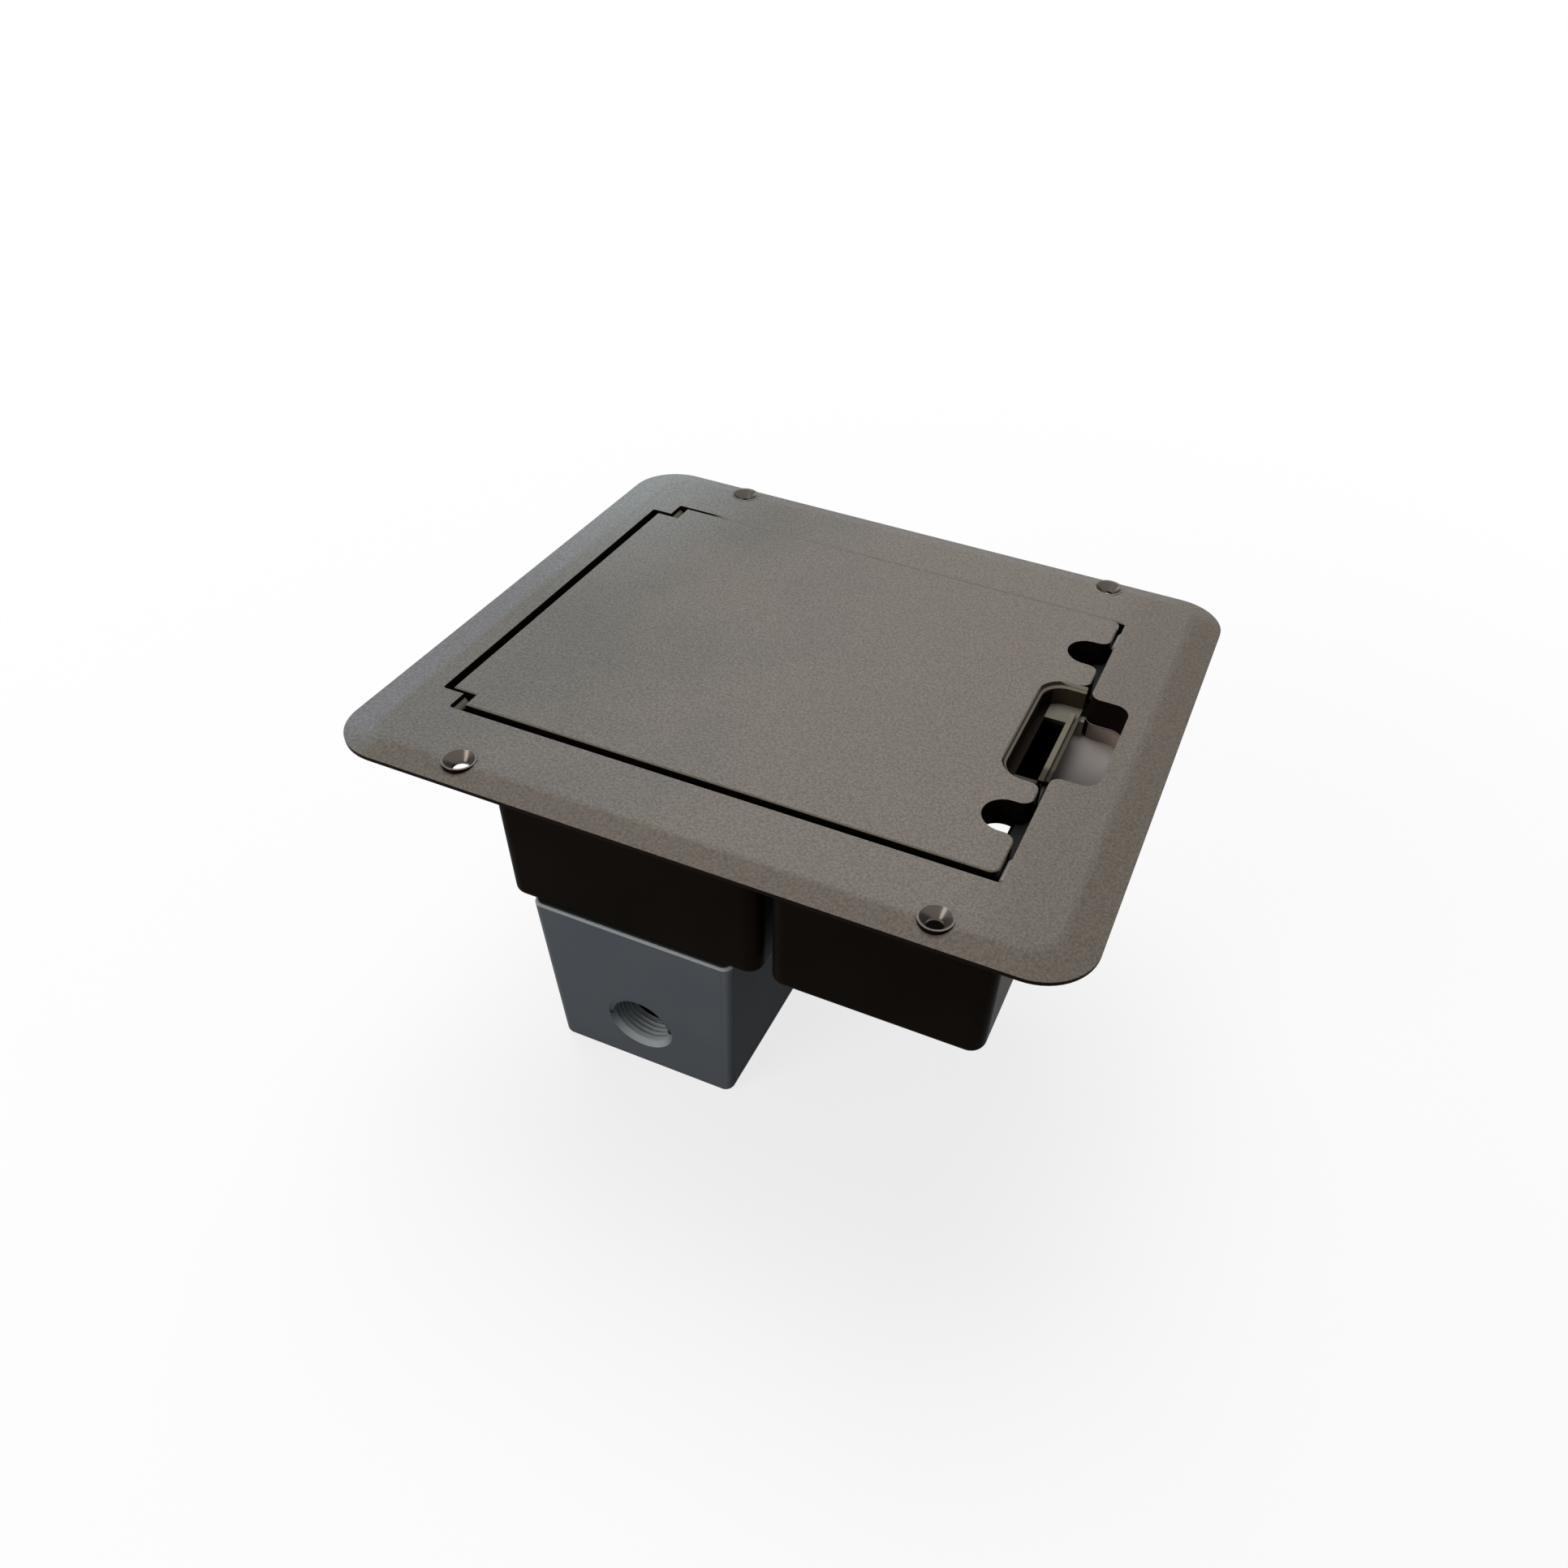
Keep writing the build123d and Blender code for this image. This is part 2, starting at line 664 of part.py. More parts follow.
def make_lid():
    """Lid deck with skirt, ribs, cord notches, finger well, hinge barrels and latch guides."""
    plan = lid_plan()
    deck_bottom = top - lid_deck
    body = prism(plan, lid_bottom, top)
    top_edges = body.faces().sort_by(Axis.Z)[-1].edges()
    body = fillet(top_edges, lid_edge_r)
    inner = rounded(lid_step + lid_skirt, lid_right - lid_skirt, lid_near + lid_skirt,
                    lid_far - lid_skirt, 1.0)
    tongue_space = rect(barrel_x1, lid_step + lid_skirt + 3, -lid_tongue_half + lid_skirt,
                        lid_tongue_half - lid_skirt)
    body = body - prism(inner + tongue_space, lid_bottom - 1, deck_bottom)
    barrel_end = lid_tongue_half - pin_in_lid - 2
    hollow = block(lid_left + lid_skirt, barrel_x1 + 1, -barrel_end, barrel_end,
                   lid_bottom - 1, deck_bottom)
    body = body - hollow
    body = body + prism(rib_plan(), top - rib_depth, deck_bottom + 0.1)
    walls = notch_plan(notch_wall) & rect(notch_left - notch_wall, lid_right, -notch_d, notch_d)
    for y in notch_centres():
        body = body + prism(Pos(0, y) * walls, lid_bottom, deck_bottom + 0.1)
    grip_shell = grip_plan(-grip_wall) & rect(bar_x0, lid_right, lid_near, lid_far)
    body = body + prism(grip_shell, grip_bottom, deck_bottom + 0.1)
    notch_lips = mouth_plan(notch_d / 2, notch_mouth_r)
    for y in notch_centres():
        body = body - prism(Pos(0, y) * (notch_plan() + notch_lips), grip_bottom - 1, top + 1)
    body = body - prism(mouth_plan(grip_half, grip_mouth_r), grip_bottom - 1, top + 1)
    body = body - prism(grip_plan(grip_chamfer), grip_floor_top, top + 1)
    chamfer_bottom = Pos(0, 0, top - grip_chamfer) * grip_plan(grip_chamfer)
    chamfer_top = Pos(0, 0, top) * grip_plan(0)
    body = body - loft([chamfer_bottom, chamfer_top])
    body = body - block(slot_left, lid_right + 1, -slot_half, slot_half, grip_bottom - 1, top)
    body = body + latch_guides(deck_bottom)
    slot_half_width = arm_width / 2 + slide_gap
    for y in clip_centres():
        body = body - block(lid_right - lid_skirt - 1, lid_right + 1, y - slot_half_width,
                            y + slot_half_width, bar_bottom - slide_gap, bar_top + slide_gap)
    bore_d = pin_d + 2 * pin_bore_gap
    bore = along_y(hinge_x, hinge_z, lid_tongue_half - pin_in_lid - 0.5, lid_tongue_half + 1, bore_d)
    return body - mirrored_y(bore)


def rib_plan():
    """Plan of the stiffening ribs under the lid, clear of the slider."""
    y0 = lid_near + lid_skirt / 2
    y1 = lid_far - lid_skirt / 2
    left = lid_step + lid_skirt / 2
    right = spring_stop_x - spring_stop_wall
    pitch = (right - left) / (ribs_across + 1)
    ribs = [rect(right - rib_wall, right, y0, y1)]
    for i in range(1, ribs_across + 1):
        x = left + i * pitch
        ribs.append(rect(x - rib_wall / 2, x + rib_wall / 2, y0, y1))
    for s in SIDES:
        for share in (rib_share_inner, rib_share_outer):
            y = s * share * open_half
            ribs.append(rect(left, right, y - rib_wall / 2, y + rib_wall / 2))
    return merge(ribs)


def latch_guides(deck_bottom):
    """Bosses for the keepers and stops for the springs, under the lid deck."""
    shapes = []
    boss_right = keeper_left + keeper_boss
    for s in SIDES:
        y0 = s * keeper_y - keeper_width / 2
        boss = block(keeper_left, boss_right, y0, y0 + keeper_width, bar_bottom - slide_gap,
                     deck_bottom + 0.1)
        centre = keeper_left + keeper_boss / 2
        hole = upright(centre, s * keeper_y, bar_bottom - 1, top - 1.2, keeper_screw_d)
        shapes.append(boss - hole)
        stop_half = spring_r + 1.6
        stop = block(spring_stop_x - spring_stop_wall, spring_stop_x, s * spring_y - stop_half,
                     s * spring_y + stop_half, lid_bottom, deck_bottom + 0.1)
        shapes.append(stop)
        rail_y = s * (spring_y + stop_half + rib_wall)
        rail = block(spring_stop_x - spring_stop_wall, bar_x0 + 4, rail_y - rib_wall / 2,
                     rail_y + rib_wall / 2, bar_top + slide_gap, deck_bottom + 0.1)
        shapes.append(rail)
    return merge(shapes)


def make_hinge_pins():
    """Two steel pins, held in the flange ears, on which the lid turns."""
    y0 = lid_tongue_half - pin_in_lid
    y1 = tongue_half + pin_in_ear
    pin = along_y(hinge_x, hinge_z, y0, y1, pin_d)
    pin = chamfer(pin.edges().filter_by(GeomType.CIRCLE), 0.3)
    return [pin, mirror(pin, Plane.XZ)]


def make_latch_slider():
    """Slider with its cross bar, two nosed arms, two spring pins and the thumb bar in the finger well."""
    arm_end = arm_y + arm_width / 2
    body = block(bar_x0, bar_x1, -arm_end, arm_end, bar_bottom, bar_top)
    for y in clip_centres():
        arm = block(bar_x0, nose_x, y - arm_width / 2, y + arm_width / 2, bar_bottom, bar_top)
        nose_edges = arm.faces().sort_by(Axis.X)[-1].edges().filter_by(Axis.Y)
        body = body + chamfer(nose_edges.sort_by(Axis.Z)[0], nose_chamfer)
    stem_x1 = stem_x0 + stem_thickness
    for s in SIDES:
        y0 = s * inner_arm_y - inner_arm_width / 2
        y1 = y0 + inner_arm_width
        body = body + block(bar_x0, bar_x1, y0, y1, inner_arm_bottom, bar_top)
        body = body + block(bar_x0, stem_x1, y0, y1, inner_arm_bottom, inner_arm_top)
    foot_half = inner_arm_y + inner_arm_width / 2
    body = body + block(stem_x0, stem_x1, -foot_half, foot_half, inner_arm_bottom, inner_arm_top)
    thumb_top = top - thumb_depth
    body = body + block(stem_x0, stem_x1, -stem_half, stem_half, inner_arm_bottom, thumb_top - 1)
    for s in SIDES:
        pin = along_x(s * spring_y, spring_z(), bar_x0 - spring_pin_length, bar_x0 + 1, spring_pin_d)
        body = body + pin
    return body + thumb_bar(thumb_top)


def thumb_bar(thumb_top):
    """Bar that the thumb pulls, with the lower ridge along its outer side."""
    thumb_bottom = grip_floor_top + 0.2
    bar = block(thumb_x0, thumb_x1, -thumb_half, thumb_half, thumb_bottom, thumb_top)
    bar = fillet(bar.faces().sort_by(Axis.Z)[-1].edges(), 0.3)
    ridge_top = thumb_top - ridge_drop
    ridge = block(thumb_x1 - 0.1, ridge_x1, -ridge_half, ridge_half, thumb_bottom, ridge_top)
    ridge = fillet(ridge.faces().sort_by(Axis.X)[-1].edges().sort_by(Axis.Z)[-1], 0.3)
    body = bar + ridge
    groove_end = thumb_x1 + ridge_groove
    return body - block(thumb_x1, groove_end, -thumb_half, thumb_half, thumb_top - ridge_groove_depth, top)


def spring_z():
    """Height of the latch springs' axis."""
    return (bar_top + bar_bottom) / 2


def make_latch_springs():
    """Two coil springs that push the slider towards the clips."""
    x0 = spring_stop_x + spring_wire_d / 2 + 0.05
    length = bar_x0 - spring_stop_x - spring_wire_d - 0.1
    springs = []
    for s in SIDES:
        path = Helix(pitch=length / spring_turns, height=length, radius=spring_r)
        start = Plane(origin=path @ 0, z_dir=path % 0)
        coil = sweep(start * Circle(spring_wire_d / 2), path=path, is_frenet=True)
        springs.append(Pos(x0, s * spring_y, spring_z()) * Rot(0, 90, 0) * coil)
    return springs


def make_latch_keepers():
    """Two flat keepers that hold the slider up against the lid."""
    keepers = []
    z1 = bar_bottom - slide_gap
    for s in SIDES:
        y0 = s * keeper_y - keeper_width / 2
        plan = rounded(keeper_left, keeper_right, y0, y0 + keeper_width, 2.0)
        centre = keeper_left + keeper_boss / 2
        keeper = prism(plan, z1 - keeper_thickness, z1)
        hole = upright(centre, s * keeper_y, z1 - 5, z1 + 1, keeper_screw_d + 2 * screw_clearance)
        keepers.append(keeper - hole)
    return keepers


def make_keeper_screws():
    """One screw for each keeper, driven up into the lid's boss."""
    z = bar_bottom - slide_gap - keeper_thickness
    x = keeper_left + keeper_boss / 2
    return [pan_screw(x, s * keeper_y, z, keeper_screw_d, keeper_screw_length, True) for s in SIDES]


def make_strike_clips():
    """Two leaf clips whose bulge holds the latch noses down; the foot is clamped by the seal."""
    wall_x = open_right + clip_pocket - clip_side_gap
    leaf_x = wall_x - clip_thickness
    apex_x = lid_right + clip_apex_gap
    foot_x = open_right + clip_foot
    foot_z = skirt_bottom
    left_side = [(leaf_x, foot_z), (leaf_x, top - clip_root_depth), (apex_x, top - clip_apex_depth),
                 (leaf_x, top - clip_tip_depth)]
    shift = clip_thickness
    right_side = [(wall_x, top - clip_tip_depth), (apex_x + shift * 1.3, top - clip_apex_depth),
                  (wall_x, top - clip_root_depth), (wall_x, foot_z + shift), (foot_x, foot_z + shift),
                  (foot_x, foot_z)]
    profile = make_face(Polyline(*left_side, *right_side, close=True))
    clips = []
    for y in clip_centres():
        leaf = extrude(Plane.XZ * profile, clip_width)
        clips.append(Pos(0, y + clip_width / 2, 0) * leaf)
    return clips


def box_screw_places():
    """Centres of the four screws between the well's floor and the outlet box."""
    return [(box_x + sx * box_screw_x, sy * box_screw_y) for sx in SIDES for sy in SIDES]


def box_form(inset, z0, z1):
    """Drafted block of the outlet box, inset from its outer wall."""
    share0 = (box_top - z0) / box_height
    share1 = (box_top - z1) / box_height
    r = max(box_corner_r - inset, 1.0)
    sections = []
    for z, share in ((z0, share0), (z1, share1)):
        width = box_width - 2 * inset - 2 * box_draft_x * share
        length = box_length - 2 * inset - 2 * box_draft_y * share
        sections.append(Pos(box_x, 0, z) * RectangleRounded(width, length, r))
    return loft(sections)


def end_face_y():
    """Distance from the middle to the box's end wall at the height of the hub."""
    return box_length / 2 - box_draft_y * hub_depth / box_height


def make_outlet_box():
    """Cast one-gang box with three threaded hubs, device lugs and corner posts."""
    body = box_form(0, box_bottom, box_top)
    foot = body.faces().sort_by(Axis.Z)[0].edges()
    body = fillet(foot, box_foot_r)
    rim = body.faces().sort_by(Axis.Z)[-1].edges()
    body = fillet(rim, box_rim_r)
    cavity = box_form(box_wall, box_bottom + box_wall, box_top)
    for s in SIDES:
        y_out = s * (box_length / 2 - box_wall + 1)
        y_in = s * lug_inner_y
        low, high = sorted((y_in, y_out))
        lug_plan = rect(box_x - lug_width / 2, box_x + lug_width / 2, low, high)
        lug = prism(lug_plan, box_top - lug_depth, box_top + 1)
        cavity = cavity - lug
        hub = along_y(box_x, hub_z, s * (end_face_y() + 1), s * (end_face_y() - hub_length), hub_boss_d)
        cavity = cavity - hub
    for x, y in box_screw_places():
        cavity = cavity - upright(x, y, box_top - box_post_depth, box_top + 1, 2 * box_post_r)
    cavity = cavity - upright(box_x, 0, box_bottom, box_bottom + hub_length, hub_boss_d)
    body = body - cavity
    for s in SIDES:
        face_y = s * end_face_y()
        body = body - along_y(box_x, hub_z, face_y + s * 3, face_y - s * (hub_length + 2), hub_d)
        turn = Rot(90, 0, 0) if s < 0 else Rot(-90, 0, 0)
        flare = Cone(hub_d / 2, hub_mouth_d / 2, hub_mouth_depth)
        body = body - Pos(box_x, face_y - s * hub_mouth_depth / 2, hub_z) * turn * flare
        body = body - upright(box_x, s * device_pitch / 2, box_top - 15, box_top + 1, device_screw_d)
    body = body - upright(box_x, 0, box_bottom - 1, box_bottom + hub_length + 1, hub_d)
    body = body - frustum(box_x, 0, box_bottom, box_bottom + hub_mouth_depth, hub_mouth_d, hub_d)
    for x, y in box_screw_places():
        body = body - upright(x, y, box_top - 14, box_top + 1, box_screw_d)
    body = body - upright(box_x, ground_screw_y, box_bottom + 1, box_bottom + box_wall + 1, device_screw_d)
    return body


def make_hub_plugs():
    """Slotted plugs that close the far end hub and the bottom hub."""
    d = hub_d - 2 * plug_gap
    far_y = end_face_y() - plug_inset
    far = along_y(box_x, hub_z, far_y - plug_length, far_y, d)
    far = far - block(box_x - d / 2, box_x + d / 2, far_y - 2, far_y + 1, hub_z - plug_slot / 2,
                      hub_z + plug_slot / 2)
    low_z = box_bottom + plug_inset
    low = upright(box_x, 0, low_z, low_z + plug_length, d)
    low = low - block(box_x - d / 2, box_x + d / 2, -plug_slot / 2, plug_slot / 2, low_z - 1, low_z + 2)
    return [far, low]


def make_box_gasket():
    """Flat gasket between the well's floor and the rim of the outlet box."""
    inset = box_gasket_inset
    width = box_width - 2 * inset
    length = box_length - 2 * inset
    band = 2 * box_gasket_band
    outer = Pos(box_x, 0) * RectangleRounded(width, length, 3)
    inner = Pos(box_x, 0) * RectangleRounded(width - band, length - band, 3)
    posts = [Pos(x, y) * Circle(box_post_r) for x, y in box_screw_places()]
    holes = [Pos(x, y) * Circle(box_screw_d / 2 + screw_clearance) for x, y in box_screw_places()]
    lugs = []
    for s in SIDES:
        low, high = sorted((s * lug_inner_y, s * length / 2))
        lugs.append(rect(box_x - lug_width / 2, box_x + lug_width / 2, low, high))
        holes.append(Pos(box_x, s * device_pitch / 2) * Circle(device_screw_d / 2 + screw_clearance))
    plan = merge([outer - inner] + posts + lugs) & outer
    return prism(plan - merge(holes), box_top, tub_bottom)


def make_box_screws():
    """Four screws down through the well's floor into the box's corner posts."""
    return [pan_screw(x, y, tub_floor, box_screw_d, box_screw_length) for x, y in box_screw_places()]


def make_receptacle_strap():
    """Steel mounting strap that lies on the well's floor under the receptacle's face."""
    plan = Pos(box_x, 0) * RectangleRounded(strap_width, strap_length, 3)
    plan = plan - Pos(box_x, 0) * Rectangle(face_width - 6, face_length - 6)
    for s in SIDES:
        plan = plan - Pos(box_x, s * device_pitch / 2) * SlotOverall(6.5, device_screw_d + 0.8)
        plan = plan - Pos(box_x, s * plate_pitch / 2) * Circle(device_screw_d / 2 + 0.02)
    return prism(plan, tub_floor, strap_top)


def make_receptacle_body():
    """Back shell of the receptacle, hanging through the well's floor into the outlet box."""
    plan = Pos(box_x, 0) * RectangleRounded(body_width, body_length, 2.5)
    body = prism(plan, tub_floor - body_depth, tub_floor)
    for s in SIDES:
        for row in SIDES:
            x = box_x + s * body_width / 2
            y = row * terminal_pitch / 2
            body = body - block(x - 3.0, x + 3.0, y - 5.0, y + 5.0, tub_floor - 20, tub_floor - 9)
    return body


def slot_set(y, way):
    """The three openings of one outlet in the face: two blade slots and a ground hole."""
    z0 = face_top - outlet_slot_depth
    z1 = face_top + 1
    wide = block(box_x - 7.3, box_x - 5.3, y - 4.0, y + 4.0, z0, z1)
    short = block(box_x + 5.3, box_x + 7.3, y - 3.2, y + 3.2, z0, z1)
    ground = upright(box_x, y + way * 8.2, z0, z1, 5.0)
    return wide + short + ground


def make_receptacle_face():
    """Face of the receptacle with two outlets and the wells of its two buttons."""
    plan = Pos(box_x, 0) * RectangleRounded(face_width, face_length, face_corner_r)
    neck = Pos(box_x, 0) * Rectangle(face_width - 6 - 2 * cover_gap, face_length - 6 - 2 * cover_gap)
    body = prism(plan, strap_top, face_top)
    body = chamfer(body.faces().sort_by(Axis.Z)[-1].edges(), 0.6)
    body = body + prism(neck, tub_floor, strap_top + 0.1)
    body = body - slot_set(outlet_y, -1) - slot_set(-outlet_y, 1)
    for s in SIDES:
        half_x = button_length / 2 + button_gap
        half_y = button_width / 2 + button_gap
        y = s * button_pitch / 2
        low = face_top - button_depth - button_travel
        body = body - block(box_x - half_x, box_x + half_x, y - half_y, y + half_y, low, face_top + 1)
    return body - upright(box_x + lens_offset(), 0, face_top - 2.2, face_top + 1, lens_d)


def lens_offset():
    """Distance of the status lens from the middle of the face."""
    return button_length / 2 + 3.4


def make_button(side):
    """One push button of the receptacle: test on the near side, reset on the far side."""
    y = side * button_pitch / 2
    body = block(box_x - button_length / 2, box_x + button_length / 2, y - button_width / 2,
                 y + button_width / 2, face_top - button_depth + 0.3, face_top + button_proud)
    return fillet(body.faces().sort_by(Axis.Z)[-1].edges(), 0.5)


def make_status_lens():
    """Small lens of the status light."""
    x = box_x + lens_offset()
    return Pos(x, 0, face_top - 1.0) * Cylinder(lens_d / 2 - 0.02, 2.2)


def make_terminal_screws():
    """Four side terminals and the ground terminal of the receptacle."""
    screws = []
    z = tub_floor - 14.5
    for s in SIDES:
        for row in SIDES:
            x = box_x + s * (body_width / 2 - 3.0)
            y = row * terminal_pitch / 2
            head = along_x(y, z, x, x + s * 2.4, terminal_d)
            slot_x = x + s * 2.4
            slot = block(slot_x - 0.8, slot_x + 0.8, y - 0.5, y + 0.5, z - 3, z + 3)
            screws.append(head - slot)
    y = -body_length / 2
    ground_x = box_x + body_width / 2 - terminal_d / 2 - 4
    ground = along_y(ground_x, z, y - 2.4, y, terminal_d)
    ground = ground - block(ground_x - 3, ground_x + 3, y - 3, y - 1.6, z - 0.5, z + 0.5)
    screws.append(ground)
    return screws


def make_device_screws():
    """Two screws that hold the receptacle's strap to the outlet box lugs."""
    places = [s * device_pitch / 2 for s in SIDES]
    return [pan_screw(box_x, y, strap_top, device_screw_d, device_screw_length) for y in places]


def cover_hole_plan():
    """Plan of the cover plate's cut-out, which clears the receptacle's face."""
    return Pos(box_x, 0) * RectangleRounded(face_width + 2 * cover_gap, face_length + 2 * cover_gap,
                                            face_corner_r)


def make_cover_pad():
    """Thin seal between the strap and the cover plate."""
    plan = Pos(box_x, 0) * RectangleRounded(cover_width - 2, cover_length - 2, 3)
    plan = plan - cover_hole_plan()
    for s in SIDES:
        plan = plan - Pos(box_x, s * device_pitch / 2) * Circle(device_screw_d * head_ratio / 2 + 0.4)
        plan = plan - Pos(box_x, s * plate_pitch / 2) * Circle(device_screw_d / 2 + screw_clearance)
    return prism(plan, strap_top, cover_bottom)


def make_cover_plate():
    """Cover plate that closes the tub floor around the receptacle's face."""
    plan = Pos(box_x, 0) * RectangleRounded(cover_width, cover_length, 4)
    body = prism(plan, cover_bottom, cover_top)
    body = fillet(body.faces().sort_by(Axis.Z)[-1].edges(), 1.2)
    body = body - prism(cover_hole_plan(), cover_bottom - 1, cover_top + 1)
    for s in SIDES:
        y = s * device_pitch / 2
        relief_d = device_screw_d * head_ratio + 0.8
        body = body - upright(box_x, y, cover_bottom - 1, cover_bottom + 1.6, relief_d)
        hole_d = device_screw_d + 2 * screw_clearance
        body = body - upright(box_x, s * plate_pitch / 2, cover_bottom - 1, cover_top + 1, hole_d)
    return body


def make_cover_screws():
    """Two screws that hold the cover plate to the strap."""
    places = [s * plate_pitch / 2 for s in SIDES]
    return [pan_screw(box_x, y, cover_top, device_screw_d, cover_screw_length) for y in places]


def make_ground_screw():
    """Bonding screw in the floor of the outlet box."""
    z = box_bottom + box_wall
    return pan_screw(box_x, ground_screw_y, z, device_screw_d, 2.0)


def write(name, shape):
    """One STEP file for one named piece or group of like pieces."""
    solids = shape if isinstance(shape, list) else [shape]
    solids = [solid for item in solids for solid in item.solids()]
    result = solids[0] if len(solids) == 1 else Compound(solids)
    export_step(result, f"parts/{name}.step")


def main():
    os.makedirs("parts", exist_ok=True)
    write("deck_frame", make_deck_frame())
    write("deck_gasket", make_deck_gasket())
    write("seat_plate", make_seat_plate())
    write("receptacle_well", make_receptacle_well())
    write("cord_well", make_cord_well())
    write("rim_seal", make_rim_seal())
    write("tub_screws", make_tub_screws())
    write("lid", make_lid())
    write("hinge_pins", make_hinge_pins())
    write("latch_slider", make_latch_slider())
    write("latch_springs", make_latch_springs())
    write("latch_keepers", make_latch_keepers())
    write("keeper_screws", make_keeper_screws())
    write("strike_clips", make_strike_clips())
    write("outlet_box", make_outlet_box())
    write("hub_plugs", make_hub_plugs())
    write("box_gasket", make_box_gasket())
    write("box_screws", make_box_screws())
    write("ground_screw", make_ground_screw())
    write("receptacle_strap", make_receptacle_strap())
    write("receptacle_body", make_receptacle_body())
    write("receptacle_face", make_receptacle_face())
    write("test_button", make_button(-1))
    write("reset_button", make_button(1))
    write("status_lens", make_status_lens())
    write("terminal_screws", make_terminal_screws())
    write("device_screws", make_device_screws())
    write("cover_pad", make_cover_pad())
    write("cover_plate", make_cover_plate())
    write("cover_screws", make_cover_screws())


main()
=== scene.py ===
import json
import math

import bmesh
import bpy
from mathutils import Euler, Matrix, Vector


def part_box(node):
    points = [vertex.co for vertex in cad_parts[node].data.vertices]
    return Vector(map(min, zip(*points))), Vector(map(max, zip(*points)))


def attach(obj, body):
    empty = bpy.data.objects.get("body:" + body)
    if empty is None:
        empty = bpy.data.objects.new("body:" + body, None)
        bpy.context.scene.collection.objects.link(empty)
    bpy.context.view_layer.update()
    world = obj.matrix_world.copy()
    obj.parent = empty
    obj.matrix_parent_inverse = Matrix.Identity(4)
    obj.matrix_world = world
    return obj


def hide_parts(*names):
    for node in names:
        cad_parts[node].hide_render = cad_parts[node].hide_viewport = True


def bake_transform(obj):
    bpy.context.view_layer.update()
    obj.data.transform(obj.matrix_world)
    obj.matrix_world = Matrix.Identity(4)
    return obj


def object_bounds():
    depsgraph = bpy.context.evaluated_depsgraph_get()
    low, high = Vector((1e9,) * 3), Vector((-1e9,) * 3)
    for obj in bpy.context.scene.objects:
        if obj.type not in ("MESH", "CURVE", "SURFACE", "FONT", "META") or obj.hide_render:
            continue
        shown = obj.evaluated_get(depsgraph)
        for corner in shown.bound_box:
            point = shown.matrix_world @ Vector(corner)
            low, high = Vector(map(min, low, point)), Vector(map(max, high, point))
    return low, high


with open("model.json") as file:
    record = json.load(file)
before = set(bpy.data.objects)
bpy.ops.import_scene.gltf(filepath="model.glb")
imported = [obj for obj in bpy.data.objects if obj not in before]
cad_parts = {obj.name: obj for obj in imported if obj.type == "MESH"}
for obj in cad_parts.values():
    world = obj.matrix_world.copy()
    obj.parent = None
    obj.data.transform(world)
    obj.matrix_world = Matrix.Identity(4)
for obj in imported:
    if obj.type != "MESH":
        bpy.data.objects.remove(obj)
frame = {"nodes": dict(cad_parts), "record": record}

CAD_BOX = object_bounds()

bl_info = {
    "name": "Deck Power Box",
    "version": (1, 0, 0),
    "blender": (4, 5, 0),
    "location": "View3D > Sidebar > Deck Box",
    "description": "Dresses a recessed deck outlet box with its lid, wells, latch and receptacle",
    "category": "Object",
}

MM = 0.001
BLACK = (0.0, 0.0, 0.0)
WHITE = (1.0, 1.0, 1.0)


def tone(red, green, blue):
    """A colour written as 0-255 screen values, given back in the linear values that shaders use."""
    linear = []
    for value in (red, green, blue):
        c = value / 255.0
        linear.append(c / 12.92 if c <= 0.04045 else ((c + 0.055) / 1.055) ** 2.4)
    return tuple(linear)


def mid(first, second, share=0.5):
    """A colour between two others."""
    return tuple(a + (b - a) * share for a, b in zip(first, second))


# Places on the object, in metres. A finger well is its low X, its high X and half its width.

FLANGE_WELL = (70.0 * MM, 86.1 * MM, 19.7 * MM)
FLANGE_WELL_WALL_TOP = -5.2 * MM
LID_WELL = (60.0 * MM, 73.0 * MM, 23.5 * MM)
LID_WELL_WALL_TOP = 1.8 * MM
# Painted shade: the strip of the lid well's floor between its left wall and the slot
LID_WELL_SHADE_STRIP = (60.0 * MM, 63.1 * MM, 23.5 * MM)
SCREW_SEAT_RADIUS = 4.05 * MM
# Painted shadow on the latch slider's front end starts here
LATCH_SHADOW_FROM = -10.5 * MM
LATCH_RIDGE_TOP = -1.85 * MM
THREAD_INSET = 3.6 * MM
THREAD_TAPER = 0.3 * MM
THREAD_TURNS = 5.0

# Spans over which a mask fades in: the value where it is nothing, then the value where it is full.

FULL = (0.0, 1.0)
NOISE_SPAN = (0.3, 0.7)
PATCH_SPAN = (0.35, 0.65)

# The upward part of a face's normal
FACES_UP = (0.05, 0.45)
STANDS_UPRIGHT = (0.45, 0.05)
NEARLY_LEVEL = (0.8, 0.95)
ROUNDED_OVER = (0.9, 0.8)
LATCH_FACES_UP = (-0.1, 0.5)
RIM_FACES_UP = (0.05, 0.4)
MOUTH_FACES_UP = (0.1, 0.8)

# The height of a point
ABOVE_DECK = (-1.0 * MM, 0.5 * MM)
BELOW_DECK = (-1.0 * MM, -2.0 * MM)
BELOW_CREASE = (3.0 * MM, 2.5 * MM)
LIP_HEIGHT = (1.8 * MM, 2.2 * MM)
LID_WELL_EDGE = (2.0 * MM, 2.4 * MM)
LID_WELL_INSIDE = (1.6 * MM, 0.4 * MM)

# The place of a point along X or Y
TO_LATCH_END = (64.0 * MM, 82.0 * MM)
TO_HINGE_END = (-45.0 * MM, -100.0 * MM)
TO_BACK = (-20.0 * MM, 85.0 * MM)
TO_FRONT = (18.0 * MM, -8.0 * MM)
AT_FAR_GAP = (58.0 * MM, 60.0 * MM)
LIP_STARTS = (-68.0 * MM, -62.0 * MM)
